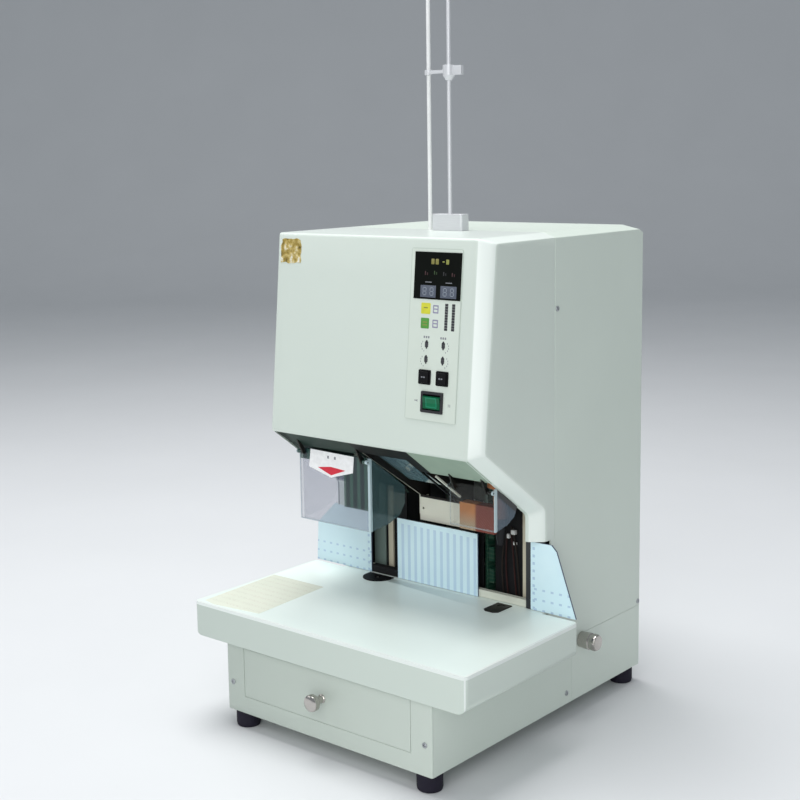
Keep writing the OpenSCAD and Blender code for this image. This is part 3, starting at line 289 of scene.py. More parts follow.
def lensGlass():
    # the lamp's tilted glass: blue-grey with painted reflections, paler streaks along the slope that grow
    # brighter to the right; black painted shade past its right end
    f = Finish("lensGlass", Coat_Weight=1.0, Coat_Roughness=0.04)
    x, rightEnd, streaks = f.axis(0), 0.0338, f.noise(22.0, 3.0, (6, 1, 1))
    fall = ((f.axis(1) - rowY(115)) * 13.0).held()
    tone = f.mix(fall, (0.11, 0.20, 0.26), (0.10, 0.22, 0.24))
    # painted reflection: pale streaks and a glint that grows to the right
    paintedGlint = (streaks * 0.6).most(((x - 0.012) * 40.0).held() * 0.7)
    tone = f.mix(paintedGlint, tone, (0.34, 0.46, 0.52))
    f.paint(f.mix(x > rightEnd, tone, (0.004, 0.005, 0.006)))
    return f.set("Roughness", 0.08 + 0.15 * streaks).material


def fencePrint(name, node, wing):
    # pale blue plate; the middle one (wing 0) is ruled with upright stripes, and the wings (-1 left, 1 right)
    # carry a column of small marks at their inner edge and rows of them below; the back is dark
    f = Finish(name, Coat_Weight=0.3, Coat_Roughness=0.25)
    (left, _, low), (right, _, top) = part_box(node)
    x, z = f.axis(0), f.axis(2)
    # the left wing's pale tones are darkened as painted shade
    shade, ink, pitch = 0.88 if wing < 0 else 1.0, (0.16, 0.30, 0.56), 0.01047
    base = f.mix(f.noise(26.0, 4.0), darker((0.64, 0.85, 0.93), shade), darker((0.73, 0.92, 0.97), shade))
    if wing:
        start = left + 0.007 if wing > 0 else left  # the right wing has a dark strip at its inner edge
        edge = right if wing < 0 else start
        inner = abs(x - (edge + wing * 0.0042)) < 0.0017
        column = inner * ((z + 0.004) % 0.0092 < 0.0034)
        rows = ((z - low) % 0.0125 < 0.0026) * ((x + 1.0) % 0.0118 < 0.0040) * (z < low + 0.034)
        tone = f.mix(column.most(rows) * (z < top - 0.006) * 0.42, base, ink)
        if wing > 0:
            tone = f.mix(x < start - 0.0002, tone, (0.012, 0.012, 0.016))
    else:
        wide = (x + 0.0602) % pitch < pitch * 0.42
        tone = f.mix(wide * (z < top - 0.0065), base, (0.53, 0.71, 0.85))
    f.paint(f.mix(f.axis(1) > rowY(219.9), tone, (0.06, 0.08, 0.14)))
    return f.skin(0.35, 0.12, 150.0, 800.0, 0.00001)


# each guard: the width of the painted highlight at its right bend, tints and covers, and the share of painted
# reflection on the sheet, whose absence paints a shaded gap on the cheek
guards = {"drill_guard": {"front": 119.5, "highlightWidth": 0.0036, "sheet": (0.30, 0.32, 0.42), "cover": 0.27,
                          "cheek": (0.06, 0.11, 0.115), "cheekCover": 0.62, "mirror": 1.0},
          "rivet_guard": {"front": 145.0, "highlightWidth": 0.0022, "sheet": (0.20, 0.21, 0.20), "cover": 0.02,
                          "cheek": (0.07, 0.11, 0.15), "cheekCover": 0.60, "mirror": 0.0}}


def guardAcrylic(name, node, cfg):
    # bent acrylic: a tint and cover each for the front sheet and the cheeks, and a pale band at the right bend
    # that is a painted highlight;
    # with the mirror share at 1 a painted reflection of the machine's dark inside lies along the top and down
    # the right third, at 0 a black painted shade fills the gap on the cheek where the head's slope passes
    f = Finish(name, IOR=1.49, Specular_IOR_Level=0.4, Coat_Weight=0.4, Coat_Roughness=0.05)
    (left, _, low), (right, _, _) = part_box(node)
    face, mirror = rowY(cfg["front"]), cfg["mirror"]
    x, y, z = f.axis(0), f.axis(1), f.axis(2)
    isFront = y < face + 0.0032
    # painted highlight: a pale band down the front sheet at its right bend
    edgeHighlight = (x > right - cfg["highlightWidth"]) * (y < face + 0.0034)
    thin = ((z < low + 0.0012) * isFront).most((x < left + 0.0014) * (y < face + 0.0016))
    haze = f.noise(12.0, 4.0)
    # painted reflection of the machine's dark inside, in bands along the top and down the right third
    paintedReflection = (z > low + 0.078).most((x > right - 0.0425) * (z > low + 0.026)) * mirror
    reflectedBands = f.mix((x + 0.2) % 0.0118 < 0.0052, (0.012, 0.030, 0.034), (0.035, 0.085, 0.072))
    sheet = f.mix(paintedReflection, f.mix(haze, darker(cfg["sheet"], 0.86), cfg["sheet"]), reflectedBands)
    # painted shade: a black gap on the cheek above the head's slope
    paintedGapShade = (z + (y - rowY(faceFoot[0])) * slopeFall > 0.350) * (1.0 - mirror)
    side = f.mix(paintedGapShade, cfg["cheek"], (0.006, 0.007, 0.007))
    f.paint(f.mix(edgeHighlight.most(thin * 0.7), f.mix(isFront, side, sheet), (0.44, 0.55, 0.58)))
    sheetCover = (cfg["cover"] + 0.10 * haze).most(paintedReflection * 0.86)
    sideCover = (x > left + 0.02) * (paintedGapShade * 0.9).most(cfg["cheekCover"]) + 0.03
    scratch = f.noise(240.0, 2.0, (1, 1, 8)) > 0.68
    cover = isFront * sheetCover + (1.0 - isFront) * sideCover + edgeHighlight * 0.8 + thin * 0.25 + scratch * 0.04
    f.set("Alpha", cover.held()).set("Roughness", 0.05 + 0.12 * haze)
    f.material.surface_render_method = "BLENDED"
    return f.material


def punchMetal():
    # blackened tip, copper body above it
    f = Finish("punchMetal", Metallic=0.8)
    marks = f.noise(70.0, 5.0, (1, 1, 40))
    body, tipTop = f.mix(marks, (0.34, 0.12, 0.05), (0.55, 0.22, 0.09)), 0.262
    f.paint(f.mix(f.axis(2) < tipTop, body, (0.02, 0.02, 0.022)))
    return f.close(0.4 + 0.2 * marks, marks, 0.00002)


def heaterWrap():
    # glass tape round the heater: orange above, tan below, red-brown at its right end
    f = Finish("heaterWrap")
    weave = f.node("TexWave", {"bands_direction": "DIAGONAL"}, {"Vector": f.place(), "Scale": 160.0})
    warm = f.mix(((f.axis(2) - 0.250) * 60.0).held(), (0.46, 0.34, 0.22), (0.62, 0.24, 0.07))
    tone = f.mix(((f.axis(0) - 0.074) * 250.0).held(), warm, (0.20, 0.035, 0.022))
    f.paint(f.mix(weave * 0.35, tone, (0.08, 0.03, 0.02)))
    return f.close(0.6 + 0.15 * f.noise(80.0), weave, 0.00015)


def goldFoil():
    # crumpled foil shaded in its colour: olive hollows as painted shade, gold slopes, and white glints as
    # painted highlights
    f = Finish("goldFoil", Metallic=0.55)
    folds = f.noise(130.0, 4.0)
    f.paint(f.ramp(folds, [(0.30, (0.10, 0.08, 0.02)), (0.45, (0.42, 0.30, 0.07)), (0.58, (0.66, 0.52, 0.20)),
                           (0.70, (0.95, 0.93, 0.80))]))
    return f.close(0.22 + 0.2 * f.noise(60.0), folds, 0.0006)


def ruledPaper():
    # the sheet stuck on the table: pale yellow with faint rows of coloured specks
    f = Finish("ruledPaper", Coat_Weight=0.2, Coat_Roughness=0.3)
    rows = (f.axis(1) + 1.0) % 0.0135 < 0.0055
    specks = f.noise(330.0, 2.0, (1, 3, 1)) > 0.56
    hue = f.mix(f.noise(55.0), (0.70, 0.52, 0.42), (0.44, 0.56, 0.48))
    paper = f.mix(f.noise(18.0), (0.70, 0.74, 0.62), (0.78, 0.80, 0.68))
    f.paint(f.mix(rows * specks * 0.55, paper, hue))
    return f.skin(0.4, 0.1, 90.0, 500.0, 0.00001, detail=3.0)


def tablePaintAndLight():
    # the table's paint with light and shade painted in: the top paler than the aprons and paler still towards
    # the rear as painted light;
    # the aprons darker, most at their left, as painted shade; nearly white along the rolled edges as a painted
    # highlight
    f = Finish("tablePaintAndLight", Coat_Weight=0.3, Coat_Roughness=0.3)
    x, y, z = f.axis(0), f.axis(1), f.axis(2)
    clouds = f.noise(7.0, 4.0)
    # painted shade: the aprons darker, most at their left
    apronWithPaintedShade = f.mix((x * 2.4 + 0.4 + 0.2 * clouds).held(), (0.495, 0.56, 0.51), (0.57, 0.64, 0.58))
    top = f.mix(clouds, (0.74, 0.83, 0.79), (0.78, 0.87, 0.82))
    # painted light: the top paler towards the rear, under the head
    top = f.mix(((y - rowY(22)) * 9.0).held(), top, (0.89, 0.98, 0.92))
    # painted highlight along the rolled edges
    paintedEdgeHighlight = ((abs(x) > 0.2070).most(y < rowY(-2.9)) * (z > 0.1470)).most((x > 0.2072) * (y < rowY(-3.2)))
    f.paint(f.mix(paintedEdgeHighlight, f.mix(z > 0.1502, apronWithPaintedShade, top), (0.76, 0.81, 0.775)))
    return f.skin(0.38, 0.1, 45.0, 800.0, 0.00003)


def shellPaintAndShade():
    # the covers' sprayed paint, with painted shade on the base's front wall below the table, most at its left
    f = Finish("shellPaintAndShade", Coat_Weight=0.15, Coat_Roughness=0.26)
    tone = f.mix(f.noise(7.0, 4.0), (0.59, 0.655, 0.59), (0.64, 0.71, 0.64))
    # painted shade on the base's front wall, darkest at its left
    low = f.mix((f.axis(0) * 3.0 + 0.5).held(), (0.42, 0.475, 0.425), (0.54, 0.60, 0.54))
    f.paint(f.mix((f.axis(1) < rowY(2.6)) * (f.axis(2) < 0.12), tone, low))
    return f.skin(0.36, 0.12, 45.0, 520.0, 0.00006)


def headPaintAndLight():
    # sprayed paint with a painted highlight along the right bevel and on the top, and painted shade inside the
    # left wall
    f = Finish("headPaintAndLight", Coat_Weight=0.5, Coat_Roughness=0.18)
    x, y, z = f.axis(0), f.axis(1), f.axis(2)
    field = f.mix(f.noise(7.0, 4.0), (0.585, 0.650, 0.590), (0.630, 0.695, 0.632))
    # painted highlight: the right bevel and the top are lighter where they catch the light
    bevel = (x > 0.1440) * (x < 0.1592)
    top = (z > 0.6005) * (0.3 + 0.3 * (y > rowY(118)))
    tone = f.mix((bevel * 0.8).most(top), field, (0.79, 0.845, 0.80))
    # painted shade on the inside of the left wall, behind the face
    behind = (y - rowY(91) - (z - faceFoot[1] / 1000) * math.tan(faceLean)) > 0.0
    inside = (abs(x + 0.1569) < 0.0009) * behind * (z < 0.599)
    f.paint(f.mix(inside, tone, (0.016, 0.030, 0.028)))
    return f.skin(0.32, 0.1, 45.0, 520.0, 0.00006)


def rockerGreen():
    # green lens with a brighter square set in it and a pale line round the square
    f = Finish("rockerGreen", Coat_Weight=0.15, Coat_Roughness=0.08, Specular_IOR_Level=0.2,
               Emission_Strength=0.05)
    middle, half, lineWide = (0.092, 0.060), (0.0072, 0.0052), 0.0007
    ring = (abs(f.axis(0) - middle[0]) - half[0]).most(abs(f.upFace() - middle[1]) - half[1])
    tone = f.mix(ring < 0.0, (0.003, 0.085, 0.035), (0.004, 0.13, 0.055))
    tone = f.mix(abs(ring) < lineWide, tone, (0.012, 0.19, 0.10))
    f.paint(tone).set("Emission Color", tone)
    return f.skin(0.2, 0.1, 120.0, 700.0, 0.00002)


finishes = {
    "shell": shellPaintAndShade(), "moulding": headPaintAndLight(), "table": tablePaintAndLight(),
    "underside": undersidePaintAndShade(), "troughTwo": troughPaintAndShade(), "lens": lensGlass(),
    "film": panelFilm(), "rocker": rockerGreen(), "punch": punchMetal(),
    "heater": heaterWrap(), "foil": goldFoil(), "paper": ruledPaper(),
    "fenceCentre": fencePrint("fenceCentre", "centre_fence", 0),
    "fenceLeft": fencePrint("fenceLeft", "left_fence", -1),
    "fenceRight": fencePrint("fenceRight", "right_fence", 1),
    "drillGuard": guardAcrylic("drillGuardAcrylic", "drill_guard", guards["drill_guard"]),
    "rivetGuard": guardAcrylic("rivetGuardAcrylic", "rivet_guard", guards["rivet_guard"]),
    "trough": coat("fenceBarPaint", (0.68, 0.70, 0.60), rough=0.5),
    "cast": coat("castPaint", (0.13, 0.14, 0.15), rough=0.6, orange=0.0002, grain=300.0, cloud=0.2),
    "tan": coat("tanPaint", (0.64, 0.59, 0.45), rough=0.55), "slate": coat("slatePaint", (0.20, 0.27, 0.24)),
    "rubber": rubbery("footRubber", (0.010, 0.008, 0.018)),
    "belt": rubbery("beltRubber", (0.012, 0.012, 0.012)),
    "rollerRubber": rubbery("rollerRubber", (0.03, 0.03, 0.032)),
    "hollow": rubbery("hollowBlack", (0.006, 0.006, 0.007)),
    "screenBlack": rubbery("screenBlack", (0.003, 0.004, 0.003), gloss=0.08),
    "wireRed": rubbery("wireRed", (0.026, 0.007, 0.006)),
    "wireBrown": rubbery("wireBrown", (0.016, 0.011, 0.008)),
    "black": moulded("blackPlastic", (0.014, 0.014, 0.017)),
    "blackSatin": moulded("buttonPlastic", (0.004, 0.004, 0.005), rough=0.62, gloss=0.15),
    "iron": moulded("laminations", (0.07, 0.06, 0.055), rough=0.6, grain=300.0, depth=0.0001),
    "motor": moulded("motorPaint", (0.05, 0.052, 0.058), rough=0.45),
    "nylon": moulded("nylonTube", (0.80, 0.81, 0.80), rough=0.35, grain=500.0, depth=0.00002),
    "white": moulded("whiteNylon", (0.72, 0.72, 0.70)),
    "blackSteel": turned("blackenedSteel", (0.05, 0.048, 0.045), rough=0.45),
    "steelRound": turned("shaftSteel", (0.60, 0.61, 0.63), stretch=(60, 1, 1)),
    "chrome": turned("knobChrome", (0.56, 0.53, 0.50), rough=0.14),
    "zinc": turned("zincSheet", (0.50, 0.52, 0.54), rough=0.42, stretch=(4, 4, 4)),
    "aluminium": turned("milledAluminium", (0.58, 0.59, 0.61), rough=0.38, stretch=(1, 30, 1)),
    "rod": turned("rodAluminium", (0.74, 0.75, 0.77), rough=0.4, stretch=(1, 1, 40), metal=0.35),
    "brass": turned("pipeBrass", (0.60, 0.43, 0.18)),
    "board": circuit("mainBoard", (0.008, 0.10, 0.045)),
    "boardDark": circuit("sideBoard", (0.008, 0.050, 0.030)),
    "glassPale": printed("digitGlass", (0.085, 0.10, 0.135), rough=0.3),
    "digitGlow": printed("digitGlow", (0.22, 0.25, 0.29), rough=0.3, glow=0.12),
    "markGlow": printed("markGlow", (0.20, 0.18, 0.045), rough=0.3, glow=0.1)}
inks = {"Black": (0.020, 0.020, 0.026), "Grey": (0.22, 0.23, 0.25), "White": (0.90, 0.90, 0.90),
        "Yellow": (0.62, 0.61, 0.035), "Green": (0.075, 0.29, 0.035), "Purple": (0.27, 0.26, 0.37),
        "Red": (0.66, 0.006, 0.030), "Olive": (0.24, 0.25, 0.05), "Rust": (0.045, 0.010, 0.012),
        "Moss": (0.020, 0.050, 0.008), "Dim": (0.018, 0.018, 0.020)}
finishes.update({"ink" + name: printed("ink" + name, tone) for name, tone in inks.items()})
print("finishes made:", len(finishes))


def addPiece(name, points, faces, body, finish, slot, sharp=35.0):
    # puts points and faces into a piece that rides on a body, with its faces turned outwards
    mesh = bpy.data.meshes.new(name)
    mesh.from_pydata(np.asarray(points, float).reshape(-1, 3).tolist(), [], faces)
    work = bmesh.new()
    work.from_mesh(mesh)
    bmesh.ops.remove_doubles(work, verts=work.verts, dist=1e-7)
    bmesh.ops.recalc_face_normals(work, faces=work.faces)
    for face in work.faces:
        face.smooth = True
    for edge in work.edges:
        edge.smooth = edge.calc_face_angle(3.0) < math.radians(sharp)
    work.to_mesh(mesh)
    work.free()
    mesh.materials.append(finishes[finish])
    piece = bpy.data.objects.new(name, mesh)
    bpy.context.scene.collection.objects.link(piece)
    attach(piece, body)
    return piece


def ringFaces(rows, around, capped=True, start=0):
    # quads between neighbouring rings of points, and a flat face on the first and the last ring
    index = np.arange(rows * around).reshape(rows, around) + start
    beside = np.roll(index, -1, axis=1)
    quads = np.stack([index[:-1], beside[:-1], beside[1:], index[1:]], -1).reshape(-1, 4).tolist()
    return quads + ([index[0, ::-1].tolist(), index[-1].tolist()] if capped else [])


def gather(shapes):
    # several (rows, around, 3) ring stacks as one set of points and faces
    points, faces, count = [], [], 0
    for rings in shapes:
        points.append(rings.reshape(-1, 3))
        faces += ringFaces(rings.shape[0], rings.shape[1], start=count)
        count += rings.shape[0] * rings.shape[1]
    return np.concatenate(points), faces


def latheRings(centre, axis, profile, around=40, ribs=0, ribDepth=0.0):
    # each profile point (height, radius) turned about the axis: centre + axis * height + radius * (cos, sin)
    axis = np.asarray(axis, float) / np.linalg.norm(axis)
    aside = np.cross(axis, upWay if abs(axis[2]) < 0.9 else rightWay)
    aside /= np.linalg.norm(aside)
    other = np.cross(axis, aside)
    turn = np.linspace(0, 2 * np.pi, around, endpoint=False)
    heights, radii = np.array(profile, float).T / 1000
    swell = 1 + ribDepth * np.cos(ribs * turn)
    spokes = np.cos(turn)[:, None] * aside + np.sin(turn)[:, None] * other
    return centre + heights[:, None, None] * axis + (radii[:, None] * swell)[:, :, None] * spokes


def padRings(centre, right, up, size, corner, edge, steps=4):
    # a slab with rounded corners and front edge: its outline drawn in by each step of a quarter circle
    width, height, thick = size
    out = np.cross(right, up)
    lean = np.linspace(0, np.pi / 2, steps + 1)
    inset = np.concatenate([[0.0], edge * (1 - np.cos(lean))])
    rise = np.concatenate([[0.0], thick - edge + edge * np.sin(lean)])
    radius = np.maximum(corner - inset, 0.02)
    turn = np.linspace(0, 2 * np.pi, 32, endpoint=False) + np.pi / 32
    signX, signY = np.sign(np.cos(turn)), np.sign(np.sin(turn))
    x = signX * (width / 2 - inset - radius)[:, None] + radius[:, None] * np.cos(turn)
    y = signY * (height / 2 - inset - radius)[:, None] + radius[:, None] * np.sin(turn)
    return centre + (x[..., None] * right + y[..., None] * up + rise[:, None, None] * out) / 1000


def tubeRings(path, radius, around=12):
    # a circle carried along a path of points, square to the path's direction at each one
    path = np.asarray(path, float)
    along = np.gradient(path, axis=0)
    along /= np.linalg.norm(along, axis=1, keepdims=True)
    aside = np.cross(along, np.array([0.31, 0.87, 0.38]))
    aside /= np.linalg.norm(aside, axis=1, keepdims=True)
    other = np.cross(along, aside)
    turn = np.linspace(0, 2 * np.pi, around, endpoint=False)[None, :, None]
    return path[:, None] + radius / 1000 * (np.cos(turn) * aside[:, None] + np.sin(turn) * other[:, None])


def bend(*corners, steps=24):
    # a smooth path past its corner points: each step is a blend of them by Bernstein weights
    corners = np.array(corners, float)
    t = np.linspace(0, 1, steps)[:, None]
    n = len(corners) - 1
    power = np.arange(n + 1)
    weights = np.array([math.comb(n, i) for i in power.tolist()]) * t ** power * (1 - t) ** (n - power)
    return weights @ corners


def facePads(name, boxes, out, thick, corner, edge, finish, slot, body="machine"):
    # flat marks on the head's face, each box (x, distance up, width, height)
    shapes = [padRings(onFace(x, up, out), rightWay, faceUp, (w, h, thick), corner, edge)
              for x, up, w, h in boxes]
    return addPiece(name, *gather(shapes), body, finish, slot)


def softCopy(node, width, finish, slot, pick, segments):
    # the CAD solid with its triangles merged and its chosen sharp edges rounded by a live Bevel; pick gives an
    # edge's share of the width from its middle in millimetres
    mesh = nodes[node].data.copy()
    work = bmesh.new()
    work.from_mesh(mesh)
    bmesh.ops.remove_doubles(work, verts=work.verts, dist=1e-6)
    bmesh.ops.dissolve_limit(work, angle_limit=math.radians(0.6), verts=work.verts, edges=work.edges)
    weight = work.edges.layers.float.new("bevel_weight_edge")
    for edge in work.edges:
        if edge.is_manifold and edge.calc_face_angle() > math.radians(30):
            middle = (edge.verts[0].co + edge.verts[1].co) / 2 * 1000
            edge[weight] = 1.0 if pick is None else float(pick(middle.x, middle.y - 1000 * frontY, middle.z))
    work.to_mesh(mesh)
    work.free()
    mesh.materials.clear()
    mesh.materials.append(finishes[finish])
    mesh.shade_smooth()
    mesh.set_sharp_from_angle(angle=math.radians(28))
    piece = bpy.data.objects.new(node + ".soft", mesh)
    bpy.context.scene.collection.objects.link(piece)
    rounding = piece.modifiers.new("rounding", "BEVEL")
    rounding.limit_method = "WEIGHT"
    rounding.width = width / 1000
    rounding.segments = segments
    rounding.harden_normals = True
    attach(piece, nodes[node]["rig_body"])
    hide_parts(node)


headShell = {"halfWidth": 160.0, "flatHalf": 143.0, "wall": 2.4, "edgeRadius": 3.0, "sideRadius": 4.5,
             "leftRadius": 2.0, "seam": (240.0, 238.0), "bends": [0, 6, 3, 4, 0],
             "front": [(208, 238), (208, 270.8), faceFoot, (111.2, 603), (240, 603)],
             "side": [(220.5, 238), (220.5, 277.2), (100.5, 364.4), (123.7, 597), (240, 597)],
             "holes": [(80, 88, 15, 14.5), (105, 88, 15, 14.5), (92, 60, 28.6, 21.6)], "holesBelow": 590,
             "faceStops": {20.0, 130.0, 200.0}, "acrossStops": {-138.0, -60.0, 0.0, 30.0, 133.0},
             "mouth": (-157.5, 138, 355.5), "cheekWall": (-138, 271)}


def rounded(start, middle, end, steps=6):
    # places along a quarter bend: (1-t)^2 start + 2t(1-t) middle + t^2 end
    return [(1 - t) ** 2 * start + 2 * t * (1 - t) * middle + t ** 2 * end for t in np.linspace(0, 1, steps)]


def roundedProfile(corners, radii, faceStops):
    # straight runs joined by quarter bends; the run up the face keeps the stops that the switches need
    corners = np.array(corners, float)
    points = [corners[:1]]
    for i in range(1, len(corners) - 1):
        before, here, after = corners[i - 1:i + 2]
        toBefore = (before - here) / np.linalg.norm(before - here)
        toAfter = (after - here) / np.linalg.norm(after - here)
        points.append(rounded(here + toBefore * radii[i], here, here + toAfter * radii[i], 7))
        if i == 2:
            points.append(here + toAfter * np.array(faceStops)[:, None])
    points.append(corners[-1:])
    return np.concatenate(points)


def buildHeadShell(cfg):
    # columns of points from the right seam round to the left one: side wall, rounded edge, bevel, rounded
    # edge, flat face, small left edge, side wall; each column is one profile from the cheek's lower end over
    # slope, face and top; the round edges are bends between three columns
    half, flatHalf = cfg["halfWidth"], cfg["flatHalf"]
    soft, sideSoft, leftSoft = cfg["edgeRadius"], cfg["sideRadius"], cfg["leftRadius"]
    stops = sorted({up + s * h / 2 for _, up, _, h in cfg["holes"] for s in (-1, 1)} | cfg["faceStops"])
    inner = sorted({x + s * w / 2 for x, _, w, _ in cfg["holes"] for s in (-1, 1)} | cfg["acrossStops"])
    centre, side = (roundedProfile(cfg[name], cfg["bends"], stops) for name in ("front", "side"))

    def column(x, profile):
        return np.column_stack([np.full(len(profile), x), profile])

    def seamOf(profile):
        back, foot = cfg["seam"]
        return np.stack([np.full(len(profile), back), np.linspace(foot, profile[-1, 1], len(profile))], -1)

    def wallOf(edge, seam, radius):
        reach = np.linalg.norm(seam - edge, axis=1, keepdims=True)
        way = (seam - edge) / np.maximum(reach, 0.01)
        near = np.minimum(reach, radius)
        return [seam] + [edge + way * (near + (reach - near) * s) for s in (0.66, 0.33)], edge + way * near

    flat, bevel, left = column(flatHalf, centre), column(half, side), column(-half, centre)
    toBevel = (bevel - flat) / (half - flatHalf)
    wall, wallEnd = wallOf(bevel, column(half, seamOf(side)), sideSoft)
    leftWall, leftEnd = wallOf(left, column(-half, seamOf(centre)), leftSoft)
    columns = wall + rounded(wallEnd, bevel, bevel - toBevel * sideSoft)
    columns += rounded(flat + toBevel * soft, flat, column(flatHalf - soft, centre))
    columns += [column(x, centre) for x in inner[::-1]]
    columns += rounded(column(leftSoft - half, centre), left, leftEnd, 4) + leftWall[::-1]
    grid = np.stack(columns, 1)
    rows, wide = grid.shape[:2]
    index = np.arange(rows * wide).reshape(rows, wide)
    quads = np.stack([index[:-1, :-1], index[:-1, 1:], index[1:, 1:], index[1:, :-1]], -1)
    middle = (grid[:-1, :-1] + grid[1:, 1:]) / 2
    x, z = middle[..., 0], middle[..., 2]
    up = (z - faceFoot[1]) / math.cos(faceLean)
    # no quads over the mouth between the cheeks; the left cheek keeps its inside below a height
    mouthLeft, mouthRight, mouthTop = cfg["mouth"]
    cheekInside, cheekTop = cfg["cheekWall"]
    keep = ~((x > mouthLeft) & (x < mouthRight) & (z < mouthTop) & ((x > cheekInside) | (z > cheekTop)))
    for hx, hu, hw, hh in cfg["holes"]:
        keep &= ~((np.abs(x - hx) < hw / 2) & (np.abs(up - hu) < hh / 2) & (z < cfg["holesBelow"]))
    points = grid.reshape(-1, 3) / 1000 + np.array([0, frontY, 0])
    faces = quads[keep].tolist()
    made = addPiece("headShell", points, faces, "machine", "moulding", "cream_moulding", sharp=60)
    wallMade = made.modifiers.new("wall", "SOLIDIFY")
    wallMade.thickness = cfg["wall"] / 1000
    wallMade.offset = -1
    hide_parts("head_cover")


buildHeadShell(headShell)
print("head shell made")


def tableEdges(x, y, z):
    # the left end takes the full width; the top's rim and the aprons' lower edges a little less than half
    rim = z > 150.9 and (abs(x) > 202 or y < 0 or (y > 214 and abs(x) > 160))
    foot = z < 150 and (x > 209.9 or y < -5.9)
    return 1.0 if x < -209.9 else 0.46 * (rim or foot)


softEdges = {  # node: width of the rounding, finish, slot, which edges, segments
    "rear_cover": (1.6, "shell", "cream_paint",
                   lambda x, y, z: abs(x) > 142 and y > 239 and (z > 200 or y > 442.5), 3),
    "front_shell": (2.0, "shell", "cream_paint", lambda x, y, z: abs(x) > 159.9 and y < 0.1, 3),
    "base_pan": (1.2, "shell", "cream_paint", lambda x, y, z: abs(x) > 159.9 and y > 442.9, 3),
    "work_table": (7.0, "table", "table_laminate", tableEdges, 5),
    "waste_drawer": (0.7, "shell", "cream_paint", lambda x, y, z: y < 0.1, 3),
    "rod_block": (1.6, "rod", "aluminium", None, 3), "tube_clip": (0.7, "rod", "aluminium", None, 3),
    "drill_guard": (0.5, "drillGuard", "acrylic", lambda x, y, z: abs(abs(x + 84) - 58.5) < 0.1, 2),
    "rivet_guard": (0.5, "rivetGuard", "acrylic", lambda x, y, z: abs(abs(x - 109) - 33) < 0.1, 2),
    "rocker_frame": (0.5, "black", "black_plastic", lambda x, y, z: y < 100, 2),
    "power_rocker": (0.6, "rocker", "rocker_green", None, 2),
    "rubber_feet": (1.2, "rubber", "rubber", lambda x, y, z: z < 1, 2)}
for name, settings in softEdges.items():
    softCopy(name, *settings)
print("covers and fittings rounded")


nodeFinish = {  # finish: the CAD nodes that keep their shape and wear it
    "underside": ["underside_panel"], "blackSatin": ["drill_pad"],
    "blackSteel": ["anvil_plate", "guide_columns", "hollow_drill", "drill_feed_screw", "rivet_feed_screw",
                   "lower_rivet_head", "hinge_pins"],
    "zinc": ["feed_frame", "fence_rack"], "black": ["mains_inlet"],
    "cast": ["side_frames", "bed_plate", "top_bridge"], "iron": ["transformer"],
    "board": ["control_board", "display_board"], "boardDark": ["terminal_board"], "troughTwo": ["lamp_trough"],
    "film": ["panel_plate"], "screenBlack": ["display_window"], "inkBlack": ["indicator_lamps"],
    "rod": ["guide_rod"], "nylon": ["nylon_tube"], "brass": ["tube_guide"],
    "motor": ["feed_motor", "drill_motor", "screw_motors"], "rollerRubber": ["drive_roller"],
    "aluminium": ["pinch_roller", "drill_carriage", "rivet_carriage"], "belt": ["drive_belt"],
    "steelRound": ["motor_pulley", "drill_spindle"], "punch": ["rivet_punch"], "trough": ["fence_bar"],
    "chrome": ["fence_shaft"], "lens": ["lamp_lens"], "fenceCentre": ["centre_fence"],
    "fenceLeft": ["left_fence"], "fenceRight": ["right_fence"]}
for finish, names in nodeFinish.items():
    for name in names:
        for slot in nodes[name].material_slots:
            slot.material = finishes[finish]
        if not nodes[name].material_slots:
            nodes[name].data.materials.append(finishes[finish])
print("nodes dressed")


def spread(places, shape):
    # the boxes of one shape put at each place
    return [(x + dx, up + dy, w, h) for x, up in places for dx, dy, w, h in shape]


# the control panel's marks: boxes are (x, distance up the face, width, height) in millimetres
onScreen, onFilm = 1.38, 0.74  # how far the window and the film stand out of the face
windows = [(79.4, 185.2, 22.0, 13.6), (108.2, 185.2, 22.6, 13.6)]
figure = ([(0, dy, 3.4, 0.9) for dy in (4.2, 0, -4.2)]
          + [(dx, dy, 0.9, 3.3) for dy in (2.1, -2.1) for dx in (-2.2, 2.2)])  # a digit of seven bars
speck = [(0, 0, 1.5, 4.2), (3.0, -0.6, 1.0, 3.0)]
specks = [("inkRust", 74.5, 205.5), ("inkMoss", 87.5, 206.5), ("inkDim", 100.5, 205.5), ("inkRust", 112.5, 205)]
legend = [(0, 4.0, 7.6, 1.6), (-3.2, 0, 1.5, 8.0), (3.2, 0, 1.5, 8.0), (0, 0.3, 5.0, 1.4), (0, -3.8, 7.6, 1.6)]
stem = [(0, 0.3, 4.6, 6.6), (0, 3.6, 2.4, 3.0), (0, -3.6, 2.0, 2.6)]
dials = [(80.5, 125.0, -1), (104.3, 125.0, 1), (80.5, 108.0, -1), (104.3, 108.0, 1)]  # the side of their scale
